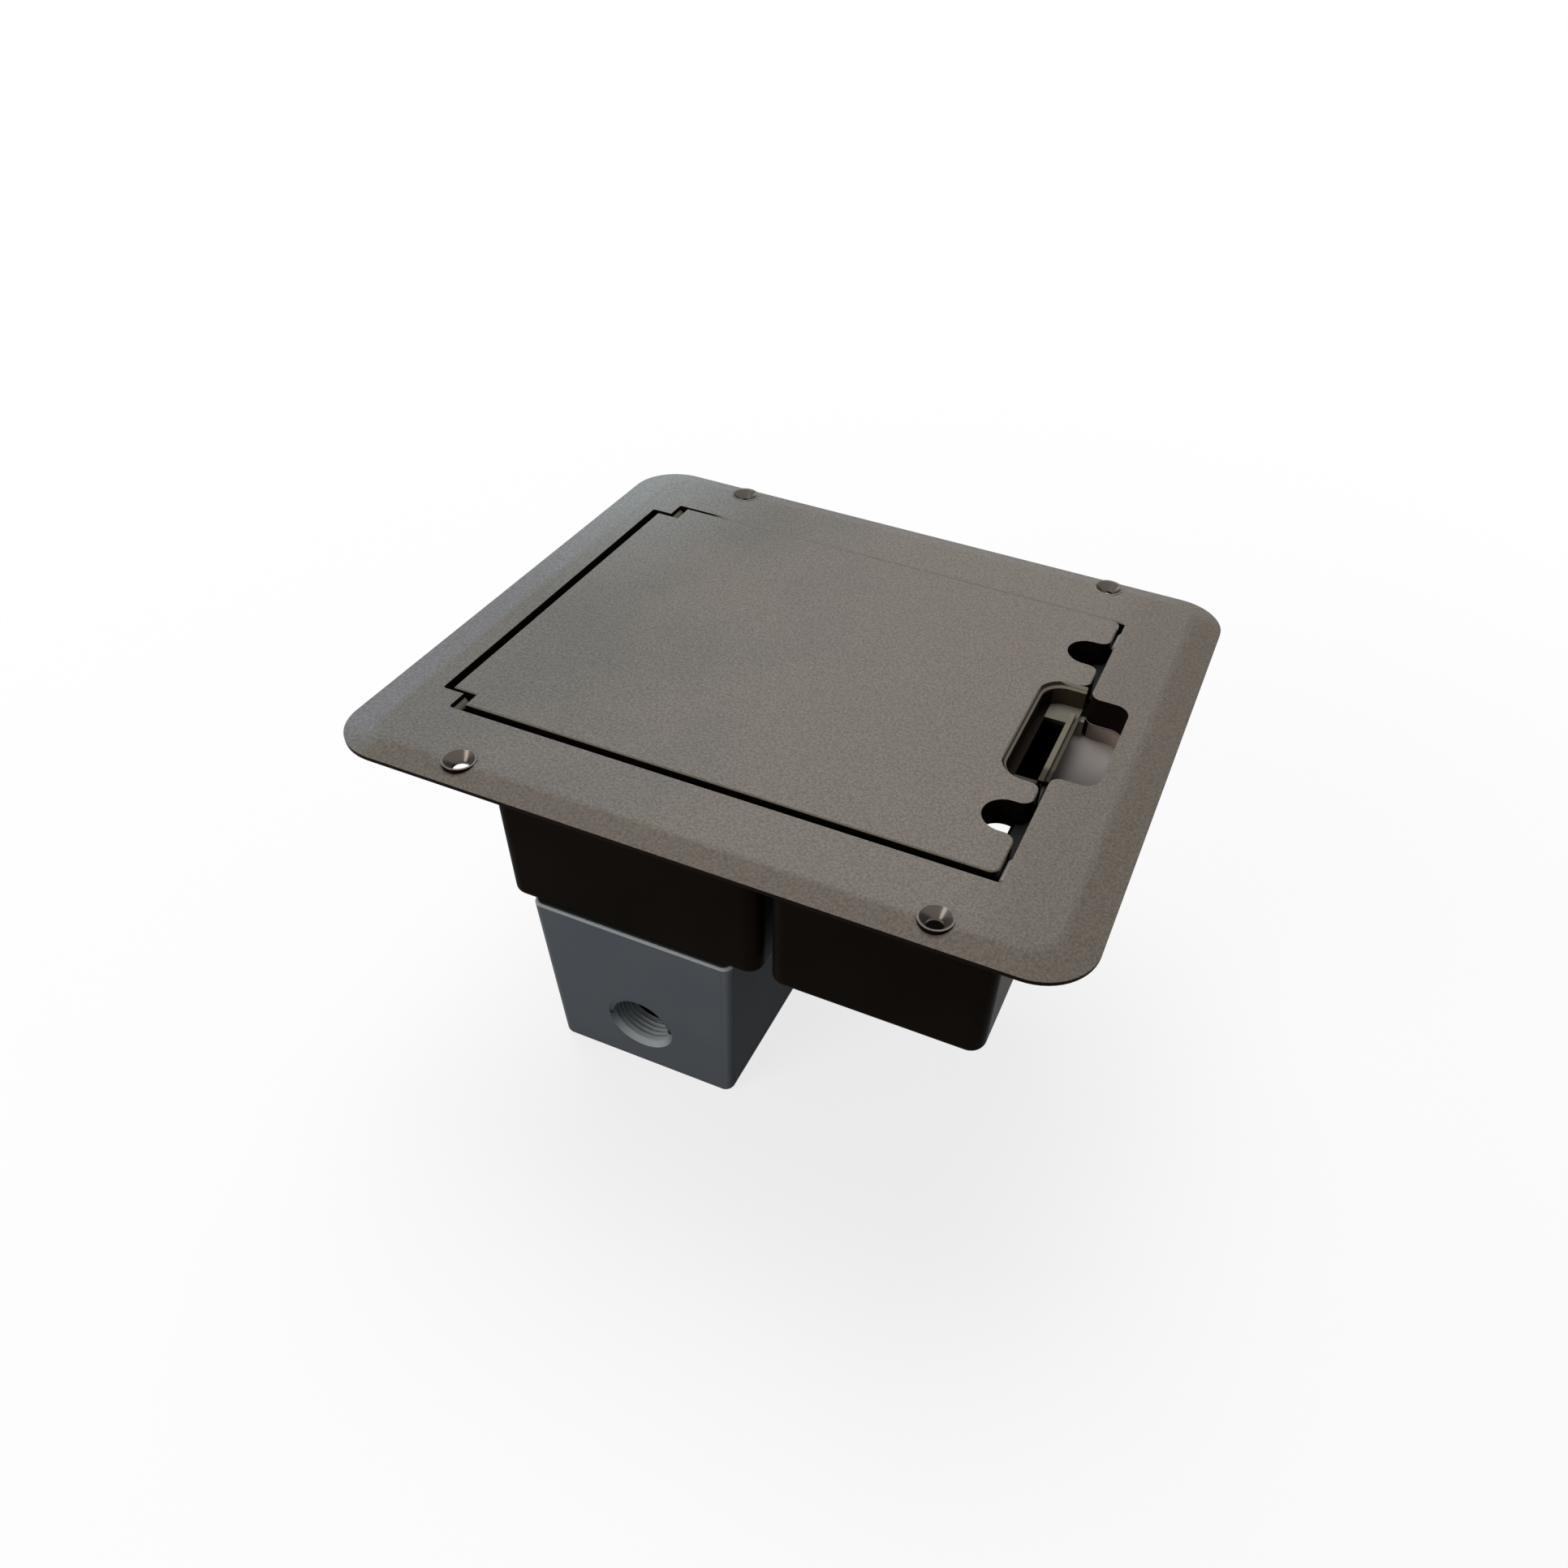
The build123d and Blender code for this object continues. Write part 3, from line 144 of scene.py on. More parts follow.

# Bevels: the ways that they lean, one with a painted sky reflection and one with painted shade, and
# how far a face leans before it takes their tone
SKY_REFLECTION_WAY = (-0.95, 0.3, 0.0)
SHADE_WAY = (0.8, -0.6, 0.0)
LEANS = (0.03, 0.13)
BEVEL_STRENGTH = (0.0, 0.8)

# Slow drift of tone along the flange
PATCH_SIZE = 45.0 * MM
PATCH_SWAY = (0.44, 0.56)
DRIFT_STOPS = (0.3, 0.5, 0.8)
END_STRENGTH = (0.0, 0.85)

# Finishes of the small pieces, each a main colour and a second one
STAINLESS = (tone(176, 174, 170), tone(150, 149, 146))
# Painted highlight: far lighter than stainless, so the clips show bright in the shaded gap
HIGHLIT_CLIP_STEEL = (tone(235, 233, 228), tone(220, 218, 212))
SPRING_WIRE = (tone(140, 140, 140), tone(110, 110, 112))
ZINC = (tone(182, 184, 182), tone(160, 162, 160))
BRASS = (tone(196, 164, 92), tone(176, 146, 80))
GREEN_COATING = (tone(36, 110, 58), tone(30, 92, 50))
BACK_SHELL = (tone(34, 34, 35), tone(28, 28, 29))
FOAM = (tone(34, 34, 34), tone(24, 24, 25))
RUBBER = (tone(28, 27, 26), tone(20, 20, 20))

# Stage
FLOOR_HALF = 14.0
FLOOR_GAP = 0.2 * MM
SHADOW_FADE = (0.1, 0.7)
GLOW_SHARE = (0.78, 1.0)
ROOM_COLOUR = (0.93, 0.96, 1.0)
LAMP_TARGET = (0.0, 0.0, -0.03)
LAMPS = (
    # name, place, size, power, colour
    ("key_above", (-0.2, 0.35, 1.2), 1.0, 13.7, (1.0, 0.985, 0.97)),
    ("low_left", (-1.1, 0.35, 0.3), 0.6, 2.0, (0.86, 0.93, 1.0)),
    ("fill_front", (-0.55, -0.95, 0.5), 0.5, 3.8, (1.0, 0.98, 0.96)),
)
CAMERA_PLACE = (0.10635677, -0.25957561, 0.18569752)
CAMERA_TURN = (41.64926266, -3.27865084, 22.54358126)
CAMERA_SHIFT = (-0.0444189, 0.1212745)


# Settings

class FlangeSettings(bpy.types.PropertyGroup):
    colour: bpy.props.FloatVectorProperty(
        name="Flange colour", description="Colour in the middle of the textured flange and lid",
        size=3, subtype="COLOR", min=0.0, max=1.0, default=tone(127, 121, 115))
    cool_colour: bpy.props.FloatVectorProperty(
        name="Cool colour", description="Colour of the moulding towards the hinge end",
        size=3, subtype="COLOR", min=0.0, max=1.0, default=tone(113, 112, 108))
    warm_colour: bpy.props.FloatVectorProperty(
        name="Warm colour", description="Colour of the moulding towards the latch end",
        size=3, subtype="COLOR", min=0.0, max=1.0, default=tone(126, 119, 112))
    end_colour: bpy.props.FloatVectorProperty(
        name="End colour", description="Colour of the flat of the flange at the latch end",
        size=3, subtype="COLOR", min=0.0, max=1.0, default=tone(117, 111, 104))
    # Painted sheen: a lighter, cooler colour at the back corner of the hinge end
    corner_colour: bpy.props.FloatVectorProperty(
        name="Corner colour", description="Colour of the flange at the back corner of the hinge end",
        size=3, subtype="COLOR", min=0.0, max=1.0, default=tone(136, 140, 140))
    # Painted sky reflection: a lighter, cooler colour on the bevels that face the hinge end and the
    # back
    cool_slope: bpy.props.FloatVectorProperty(
        name="Cool slope", description="Colour of the bevels that face the hinge end and the back",
        size=3, subtype="COLOR", min=0.0, max=1.0, default=tone(118, 119, 122))
    # Painted shade with a painted warm reflection: a darker, warmer colour on the bevels that face the
    # latch end and the front
    warm_slope: bpy.props.FloatVectorProperty(
        name="Warm slope", description="Colour of the bevels that face the latch end and the front",
        size=3, subtype="COLOR", min=0.0, max=1.0, default=tone(108, 101, 92))
    drift: bpy.props.FloatProperty(
        name="Colour drift", description="How fast the colour goes from cool to warm, per metre",
        min=0.0, max=20.0, default=2.2)
    speck: bpy.props.FloatProperty(
        name="Speck contrast", description="How much the specks of the texture differ in brightness",
        subtype="FACTOR", min=0.0, max=1.0, default=0.22)
    grain: bpy.props.FloatProperty(
        name="Grain size", description="Size of one pebble of the moulded texture",
        unit="LENGTH", min=0.0002, max=0.005, default=0.9 * MM)
    depth: bpy.props.FloatProperty(
        name="Grain depth", description="Height of the moulded texture",
        unit="LENGTH", min=0.0, max=0.001, default=0.2 * MM)
    # Also laid as painted shade on the floor strip by the lid well's slot and at the latch slider's
    # front end
    bare_colour: bpy.props.FloatVectorProperty(
        name="Bare colour", description="Colour of the moulding where the coating doesn't reach",
        size=3, subtype="COLOR", min=0.0, max=1.0, default=tone(20, 14, 10))
    smooth_colour: bpy.props.FloatVectorProperty(
        name="Smooth colour", description="Colour of the smooth coated faces below the pebbled top",
        size=3, subtype="COLOR", min=0.0, max=1.0, default=tone(127, 122, 108))
    # Painted highlight: a light colour on the upper edges of the far gap
    lip_colour: bpy.props.FloatVectorProperty(
        name="Far lip", description="Painted highlight on the upper edges of the far gap",
        size=3, subtype="COLOR", min=0.0, max=1.0, default=tone(200, 194, 186))
    seat_colour: bpy.props.FloatVectorProperty(
        name="Screw seat colour", description="Colour of the polished seats of the deck screws",
        size=3, subtype="COLOR", min=0.0, max=1.0, default=tone(96, 90, 84))
    # Painted light: lighter than the coating, to lift the shade on the floor of the flange's finger
    # well
    floor_colour: bpy.props.FloatVectorProperty(
        name="Flange well floor", description="Colour of the floor of the finger well in the flange",
        size=3, subtype="COLOR", min=0.0, max=1.0, default=tone(152, 147, 143))
    # Painted light: far lighter than the bare upright walls above it, for the lit lower wall of the
    # flange's finger well
    wall_colour: bpy.props.FloatVectorProperty(
        name="Flange well wall", description="Colour of the lower wall of the flange's finger well",
        size=3, subtype="COLOR", min=0.0, max=1.0, default=tone(158, 142, 130))
    grip_colour: bpy.props.FloatVectorProperty(
        name="Lid well floor", description="Colour of the floor of the finger well in the lid",
        size=3, subtype="COLOR", min=0.0, max=1.0, default=tone(116, 112, 100))
    grip_wall_colour: bpy.props.FloatVectorProperty(
        name="Lid well wall", description="Colour of the walls of the finger well in the lid",
        size=3, subtype="COLOR", min=0.0, max=1.0, default=tone(62, 51, 39))
    rim_colour: bpy.props.FloatVectorProperty(
        name="Lid well rim", description="Colour of the outer edge of the finger well in the lid",
        size=3, subtype="COLOR", min=0.0, max=1.0, default=tone(46, 38, 29))
    latch_colour: bpy.props.FloatVectorProperty(
        name="Latch colour", description="Colour of the coating on the latch slider",
        size=3, subtype="COLOR", min=0.0, max=1.0, default=tone(118, 112, 96))


class WellSettings(bpy.types.PropertyGroup):
    colour: bpy.props.FloatVectorProperty(
        name="Well colour", description="Colour of the glossy moulded wells",
        size=3, subtype="COLOR", min=0.0, max=1.0, default=tone(31, 25, 20))
    roughness: bpy.props.FloatProperty(
        name="Roughness", description="Roughness of the moulded wells",
        subtype="FACTOR", min=0.0, max=1.0, default=0.36)


class OutletBoxSettings(bpy.types.PropertyGroup):
    colour: bpy.props.FloatVectorProperty(
        name="Paint colour", description="Colour of the paint on the cast box",
        size=3, subtype="COLOR", min=0.0, max=1.0, default=tone(116, 121, 128))
    # Painted highlight on the box's rounded rim, its corners and the lower side of the hub's mouth
    rim_colour: bpy.props.FloatVectorProperty(
        name="Rim highlight", description="Painted highlight on the rounded rim, the corners and the lower side of the hub's mouth",
        size=3, subtype="COLOR", min=0.0, max=1.0, default=tone(212, 220, 222))
    # Painted light: lighter than the box's paint, for the thread lit inside the hub
    thread_colour: bpy.props.FloatVectorProperty(
        name="Thread colour", description="Paint colour of the thread, lightened as painted light",
        size=3, subtype="COLOR", min=0.0, max=1.0, default=tone(150, 156, 152))
    thread_pitch: bpy.props.FloatProperty(
        name="Thread pitch", description="Pitch of the conduit thread",
        unit="LENGTH", min=0.0005, max=0.005, default=1.814 * MM)
    thread_depth: bpy.props.FloatProperty(
        name="Thread depth", description="Height of the conduit thread's ridge",
        unit="LENGTH", min=0.0002, max=0.003, default=0.35 * MM)


class ReceptacleSettings(bpy.types.PropertyGroup):
    face_colour: bpy.props.FloatVectorProperty(
        name="Face colour", description="Colour of the receptacle's face and cover plate",
        size=3, subtype="COLOR", min=0.0, max=1.0, default=tone(62, 58, 54))
    reset_colour: bpy.props.FloatVectorProperty(
        name="Reset colour", description="Colour of the reset button",
        size=3, subtype="COLOR", min=0.0, max=1.0, default=tone(120, 30, 26))
    lens_colour: bpy.props.FloatVectorProperty(
        name="Lens colour", description="Colour of the status light's lens",
        size=3, subtype="COLOR", min=0.0, max=1.0, default=tone(52, 150, 74))


class StageSettings(bpy.types.PropertyGroup):
    background: bpy.props.FloatVectorProperty(
        name="Background", description="Colour that the camera sees behind the object",
        size=3, subtype="COLOR", min=0.0, max=1.0, default=WHITE)
    floor_colour: bpy.props.FloatVectorProperty(
        name="Floor colour", description="Colour of the floor where it lights the object",
        size=3, subtype="COLOR", min=0.0, max=1.0, default=tone(130, 130, 128))
    sky: bpy.props.FloatProperty(
        name="Room light", description="Strength of the even light from all round",
        min=0.0, max=2.0, default=0.16)
    focal_length: bpy.props.FloatProperty(
        name="Focal length", description="Focal length of the camera on a 36 mm frame",
        unit="CAMERA", min=10.0, max=200.0, default=26.0386)


# Material building

class Finish:
    """A node material in the making, with the patterns and masks that the finishes share."""

    def __init__(self, name):
        self.material = bpy.data.materials.new(name)
        self.material.use_nodes = True
        self.nodes = self.material.node_tree.nodes
        self.links = self.material.node_tree.links
        self.shader = self.nodes["Principled BSDF"]

    def node(self, kind, values=None, operation=None):
        """A new node with values on its sockets."""
        made = self.nodes.new(kind)
        if operation:
            made.operation = operation
        for socket, value in (values or {}).items():
            made.inputs[socket].default_value = value
        return made

    def even(self, values):
        """Sets the shader's sockets that are the same all over the surface."""
        for socket, value in values.items():
            self.shader.inputs[socket].default_value = value

    def drive(self, socket, source):
        """Drives one of the shader's sockets from a node."""
        self.links.new(source, self.shader.inputs[socket])

    def coordinate(self, kind):
        """The point on the object, or the face's own normal."""
        return self.nodes.new("ShaderNodeTexCoord").outputs[kind]

    def parts(self, kind):
        """X, Y and Z of a coordinate."""
        split = self.nodes.new("ShaderNodeSeparateXYZ")
        self.links.new(self.coordinate(kind), split.inputs["Vector"])
        return split.outputs

    def noise(self, size, detail=2.0, roughness=0.5, scale=None):
        """Noise whose pebbles have a given size in metres, with its axes scaled where asked."""
        pattern = self.node("ShaderNodeTexNoise",
                            {"Scale": 1.0 / size, "Detail": detail, "Roughness": roughness})
        point = self.coordinate("Object")
        if scale:
            mapping = self.node("ShaderNodeMapping", {"Scale": scale})
            self.links.new(point, mapping.inputs["Vector"])
            point = mapping.outputs["Vector"]
        self.links.new(point, pattern.inputs["Vector"])
        return pattern.outputs["Fac"]

    def ramp(self, factor, positions, colours):
        """Colours that run into each other along a value."""
        made = self.nodes.new("ShaderNodeValToRGB")
        stops = made.color_ramp.elements
        for index, (position, colour) in enumerate(zip(positions, colours)):
            stop = stops[index] if index < len(stops) else stops.new(position)
            stop.position = position
            stop.color = (*colour, 1.0)
        self.links.new(factor, made.inputs["Fac"])
        return made.outputs["Color"]

    def fade(self, source, span, to=FULL, kind="SMOOTHSTEP"):
        """A step of a value over a span, from one level to another."""
        step = self.node("ShaderNodeMapRange", {"From Min": span[0], "From Max": span[1],
                                                "To Min": to[0], "To Max": to[1]})
        step.interpolation_type = kind
        self.links.new(source, step.inputs["Value"])
        return step.outputs["Result"]

    def product(self, first, *others):
        """The product of several values."""
        result = first
        for other in others:
            times = self.node("ShaderNodeMath", operation="MULTIPLY")
            self.links.new(result, times.inputs[0])
            self.links.new(other, times.inputs[1])
            result = times.outputs["Value"]
        return result

    def size_of(self, source, less=0.0):
        """The size of a value without its sign, less an amount."""
        plain = self.node("ShaderNodeMath", operation="ABSOLUTE")
        self.links.new(source, plain.inputs[0])
        rest = self.node("ShaderNodeMath", {1: less}, "SUBTRACT")
        self.links.new(plain.outputs["Value"], rest.inputs[0])
        return rest.outputs["Value"]

    def laid_over(self, base, colour, mask):
        """A colour laid over another one where a mask is high; either may come from a node."""
        blend = self.nodes.new("ShaderNodeMix")
        blend.data_type = "RGBA"
        self.links.new(mask, blend.inputs["Factor"])
        for socket, layer in (("A", base), ("B", colour)):
            if isinstance(layer, bpy.types.NodeSocket):
                self.links.new(layer, blend.inputs[socket])
            else:
                blend.inputs[socket].default_value = (*layer, 1.0)
        return blend.outputs["Result"]

    def soft_edges(self, radius):
        """Normal whose shading rounds the sharp edges."""
        bevel = self.node("ShaderNodeBevel", {"Radius": radius})
        bevel.samples = 4
        return bevel.outputs["Normal"]

    def raised(self, height, depth, edge=0.0):
        """Raises the surface by a pattern, over softened edges where a radius is given."""
        bump = self.node("ShaderNodeBump", {"Strength": 1.0, "Distance": depth})
        self.links.new(height, bump.inputs["Height"])
        if edge > 0.0:
            self.links.new(self.soft_edges(edge), bump.inputs["Normal"])
        self.drive("Normal", bump.outputs["Normal"])

    def rough(self, pattern, low, more):
        """Roughness that wanders upwards from a level with a pattern."""
        self.drive("Roughness", self.fade(pattern, NOISE_SPAN, (low, low + more), "LINEAR"))


def screw_seats(finish, spot, x, y, radius):
    """Mask of the four round screw seats."""
    across = finish.nodes.new("ShaderNodeCombineXYZ")
    finish.links.new(finish.size_of(spot["X"], x), across.inputs["X"])
    finish.links.new(finish.size_of(spot["Y"], y), across.inputs["Y"])
    reach = finish.node("ShaderNodeVectorMath", operation="LENGTH")
    finish.links.new(across.outputs["Vector"], reach.inputs[0])
    edge = 0.1 * MM
    return finish.fade(reach.outputs["Value"], (radius + edge, radius - edge))


def well_space(finish, spot, low_x, high_x, half):
    """Mask of the space of one finger well."""
    edge = 0.2 * MM
    return finish.product(finish.fade(spot["X"], (low_x - edge, low_x)),
                          finish.fade(spot["X"], (high_x + edge, high_x)),
                          finish.fade(finish.size_of(spot["Y"]), (half + edge, half)))


def leaning(finish, spot, way):
    """Mask of the shallow bevels that lean one way, fading in below the crease; painted sky reflection
    and painted shade are laid where it is high.
    """
    lean = finish.node("ShaderNodeVectorMath", {1: way}, "DOT_PRODUCT")
    finish.links.new(finish.coordinate("Normal"), lean.inputs[0])
    return finish.product(finish.fade(lean.outputs["Value"], LEANS, BEVEL_STRENGTH),
                          finish.fade(spot["Z"], BELOW_CREASE))


def top_tones(finish, look, spot):
    """Tones of the pebbled top: cool to warm along X, their own at the latch end, painted sky
    reflection and painted shade on the bevels, a painted sheen at the back corner, and specked.
    """
    sway = finish.fade(finish.noise(PATCH_SIZE, 3.0), NOISE_SPAN, PATCH_SWAY)
    drift = finish.node("ShaderNodeMath", {1: look.drift}, "MULTIPLY_ADD")
    finish.links.new(spot["X"], drift.inputs[0])
    finish.links.new(sway, drift.inputs[2])
    tint = finish.ramp(drift.outputs["Value"], DRIFT_STOPS,
                       (look.cool_colour, look.colour, look.warm_colour))
    # Painted sheen at the back corner of the hinge end; then painted sky reflection and painted shade
    # on the bevels
    back_corner = finish.product(finish.fade(spot["X"], TO_HINGE_END),
                                 finish.fade(spot["Y"], TO_BACK))
    for colour, mask in ((look.end_colour, finish.fade(spot["X"], TO_LATCH_END, END_STRENGTH)),
                         (look.cool_slope, leaning(finish, spot, SKY_REFLECTION_WAY)),
                         (look.warm_slope, leaning(finish, spot, SHADE_WAY)),
                         (look.corner_colour, back_corner)):
        tint = finish.laid_over(tint, colour, mask)
    specks = finish.noise(look.grain * 0.8, 2.0, 0.7)
    speckled = finish.node("ShaderNodeVectorMath", operation="SCALE")
    finish.links.new(tint, speckled.inputs[0])
    finish.links.new(finish.fade(specks, NOISE_SPAN, (1.0 - look.speck, 1.0 + look.speck)),
                     speckled.inputs["Scale"])
    return speckled.outputs["Vector"]


def coated_moulding(name, look, well, floor_colour, wall_colour, wall_top, screws=None,
                    shaded_strip=None):
    """Dark moulding coated from above: pebbled top, smooth finger well, bare upright walls, with
    painted highlight, sheen and shade laid on.
    """
    finish = Finish(name)
    spot = finish.parts("Object")
    up = finish.parts("Normal")["Z"]
    upward = finish.fade(up, FACES_UP)
    skin = finish.product(finish.fade(up, NEARLY_LEVEL), finish.fade(spot["Z"], ABOVE_DECK))
    # Painted highlight on the upper edges of the far gap
    lip = finish.product(finish.fade(spot["Z"], LIP_HEIGHT), finish.fade(spot["Y"], AT_FAR_GAP),
                         finish.fade(spot["X"], LIP_STARTS))
    tint = finish.laid_over(look.bare_colour, look.smooth_colour, upward)
    tint = finish.laid_over(tint, look.lip_colour, lip)
    tint = finish.laid_over(tint, top_tones(finish, look, spot), skin)

    within = well_space(finish, spot, *well)
    # Finger well: the flange's floor and wall colours are painted light, lighter than its coating; the
    # floor darkens towards the front as painted shadow
    floor = finish.product(within, upward, finish.fade(spot["Z"], BELOW_DECK))
    shaded_floor = finish.product(floor, finish.fade(spot["Y"], TO_FRONT))
    wall = finish.product(within, finish.fade(up, STANDS_UPRIGHT),
                          finish.fade(spot["Z"], (wall_top, wall_top - 0.3 * MM)))
    tint = finish.laid_over(tint, floor_colour, floor)
    tint = finish.laid_over(tint, mid(floor_colour, BLACK, 0.66), shaded_floor)
    tint = finish.laid_over(tint, wall_colour, wall)
    if shaded_strip:
        rim = finish.product(within, finish.fade(spot["Z"], LID_WELL_EDGE),
                             finish.fade(up, ROUNDED_OVER))
        # Painted shade: the floor strip beside the slot takes the bare colour
        strip = finish.product(well_space(finish, spot, *shaded_strip),
                               finish.fade(spot["Z"], LID_WELL_INSIDE))
        tint = finish.laid_over(tint, look.rim_colour, rim)
        tint = finish.laid_over(tint, look.bare_colour, strip)
    if screws:
        seats = screw_seats(finish, spot, *screws)
        tint = finish.laid_over(tint, look.seat_colour, seats)
        finish.drive("Roughness", finish.fade(seats, FULL, (0.55, 0.24)))
        finish.drive("Metallic", finish.fade(seats, FULL, (0.0, 0.7)))
    else:
        finish.drive("Roughness", finish.fade(skin, FULL, (0.4, 0.6)))
    finish.drive("Base Color", tint)
    finish.even({"Specular IOR Level": 0.03})
    pebbles = finish.product(finish.noise(look.grain, 3.0, 0.6), skin)
    finish.raised(pebbles, look.depth, 0.3 * MM)
    return finish.material


def coated_slider(name, colour, bare, shadow_from, ridge_top):
    """Smooth coating on the latch slider: darker low down, with a painted shadow at the front end,
    bare on its sides.
    """
    finish = Finish(name)
    spot = finish.parts("Object")
    coated = finish.product(
        finish.fade(finish.parts("Normal")["Z"], LATCH_FACES_UP),
        # painted shadow: the front end fades towards the bare colour
        finish.fade(spot["Y"], (shadow_from - 2.0 * MM, shadow_from + 1.0 * MM), (0.25, 1.0)),
        finish.fade(spot["Z"], (ridge_top, ridge_top + 0.3 * MM), (0.35, 1.0)))
    wear = finish.ramp(finish.noise(4.0 * MM, 3.0), PATCH_SPAN, (colour, mid(colour, BLACK, 0.12)))
    finish.drive("Base Color", finish.laid_over(bare, wear, coated))
    finish.drive("Normal", finish.soft_edges(0.2 * MM))
    finish.even({"Roughness": 0.34, "Specular IOR Level": 0.06})
    return finish.material


def moulded_plastic(name, colour, second, patch, grain, depth, roughness, specular=0.4,
                    edge=0.25 * MM):
    """Moulded plastic with a fine pebbled skin and slow changes of tone."""
    finish = Finish(name)
    finish.drive("Base Color", finish.ramp(finish.noise(patch, 3.0), PATCH_SPAN, (colour, second)))
    finish.raised(finish.noise(grain, 3.0, 0.6), depth, edge)
    finish.even({"Roughness": roughness, "Specular IOR Level": specular})
    return finish.material


def edge_shine(finish, base, colour, top, x, z, radius):
    """Painted highlight: a lighter tone on rounded corners, on the top rim and on the lower side of
    the hub's mouth.
    """
    spot = finish.parts("Object")
    facing = finish.parts("Normal")
    corners = finish.product(finish.size_of(facing["X"]), finish.size_of(facing["Y"]))
    tint = finish.laid_over(base, colour, finish.fade(corners, (0.1, 0.45), (0.0, 0.15)))
    rim = finish.product(finish.fade(spot["Z"], (top - 1.3 * MM, top - 0.5 * MM)),
                         finish.fade(facing["Z"], RIM_FACES_UP))
    tint = finish.laid_over(tint, colour, rim)
    across = finish.nodes.new("ShaderNodeCombineXYZ")
    finish.links.new(spot["X"], across.inputs["X"])
    finish.links.new(spot["Z"], across.inputs["Z"])
    reach = finish.node("ShaderNodeVectorMath", {1: (x, 0.0, z)}, "DISTANCE")
    finish.links.new(across.outputs["Vector"], reach.inputs[0])
    ring = finish.fade(reach.outputs["Value"], (radius + 3.0 * MM, radius + 2.5 * MM))
    mouth = finish.product(ring, finish.fade(facing["Z"], MOUTH_FACES_UP))
    return finish.laid_over(tint, colour, mouth)


def painted_casting(name, colour, second, roughness=0.34, specular=0.002, highlight=None):
    """Even paint on cast metal, with a faint orange-peel skin and a painted highlight on its edges if
    asked.
    """
    finish = Finish(name)
    patches = finish.noise(20.0 * MM, 3.0)
    tint = finish.ramp(patches, NOISE_SPAN, (colour, second))
    finish.drive("Base Color", edge_shine(finish, tint, *highlight) if highlight else tint)
    finish.raised(finish.noise(1.6 * MM), 0.02 * MM, 0.6 * MM)
    finish.rough(patches, roughness, 0.08)
    finish.even({"Specular IOR Level": specular})
    return finish.material


def plain_metal(name, colour, second, roughness=0.28, metallic=1.0):
    """Bare metal with fine marks that are packed closer along Z."""
    finish = Finish(name)
    marks = finish.noise(1.0 / 900.0, 3.0, scale=(1.0, 1.0, 12.0))
    finish.drive("Base Color", finish.ramp(marks, NOISE_SPAN, (colour, second)))
    finish.rough(marks, roughness, 0.14)
    finish.even({"Metallic": metallic})
    return finish.material


def soft_rubber(name, colour, second, pore=0.6 * MM, depth=0.03 * MM):
    """Soft foam or rubber with small pores."""
    finish = Finish(name)
    pores = finish.noise(pore)
    finish.drive("Base Color", finish.ramp(pores, PATCH_SPAN, (colour, second)))
    finish.raised(pores, depth)
    finish.even({"Roughness": 0.85, "Specular IOR Level": 0.25})
    return finish.material


def dress(material, *names):
    """Gives CAD nodes one material."""
    for name in names:
        node = frame["nodes"][name]
        node.data.materials.clear()
        node.data.materials.append(material)


def mount(name):
    """One of the record's mounts."""
    return next(entry for entry in frame["record"]["mounts"] if entry["name"] == name)


# Pieces of the scene's own

def coil_springs(wire):
    """Coil springs: a smooth copy of the CAD springs in the wire finish, which takes the place of the
    hidden CAD piece.
    """
    mesh = frame["nodes"]["latch_springs"].data.copy()
    mesh.name = "coil_springs"
    work = bmesh.new()
    work.from_mesh(mesh)
    bmesh.ops.remove_doubles(work, verts=work.verts, dist=0.001 * MM)
    work.to_mesh(mesh)
    work.free()
    if "custom_normal" in mesh.attributes:
        mesh.attributes.remove(mesh.attributes["custom_normal"])
    for face in mesh.polygons:
        face.use_smooth = True
    mesh.materials.clear()
    mesh.materials.append(wire)
    springs = bpy.data.objects.new("coil_springs", mesh)
    bpy.context.scene.collection.objects.link(springs)
    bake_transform(springs)
    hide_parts("latch_springs")


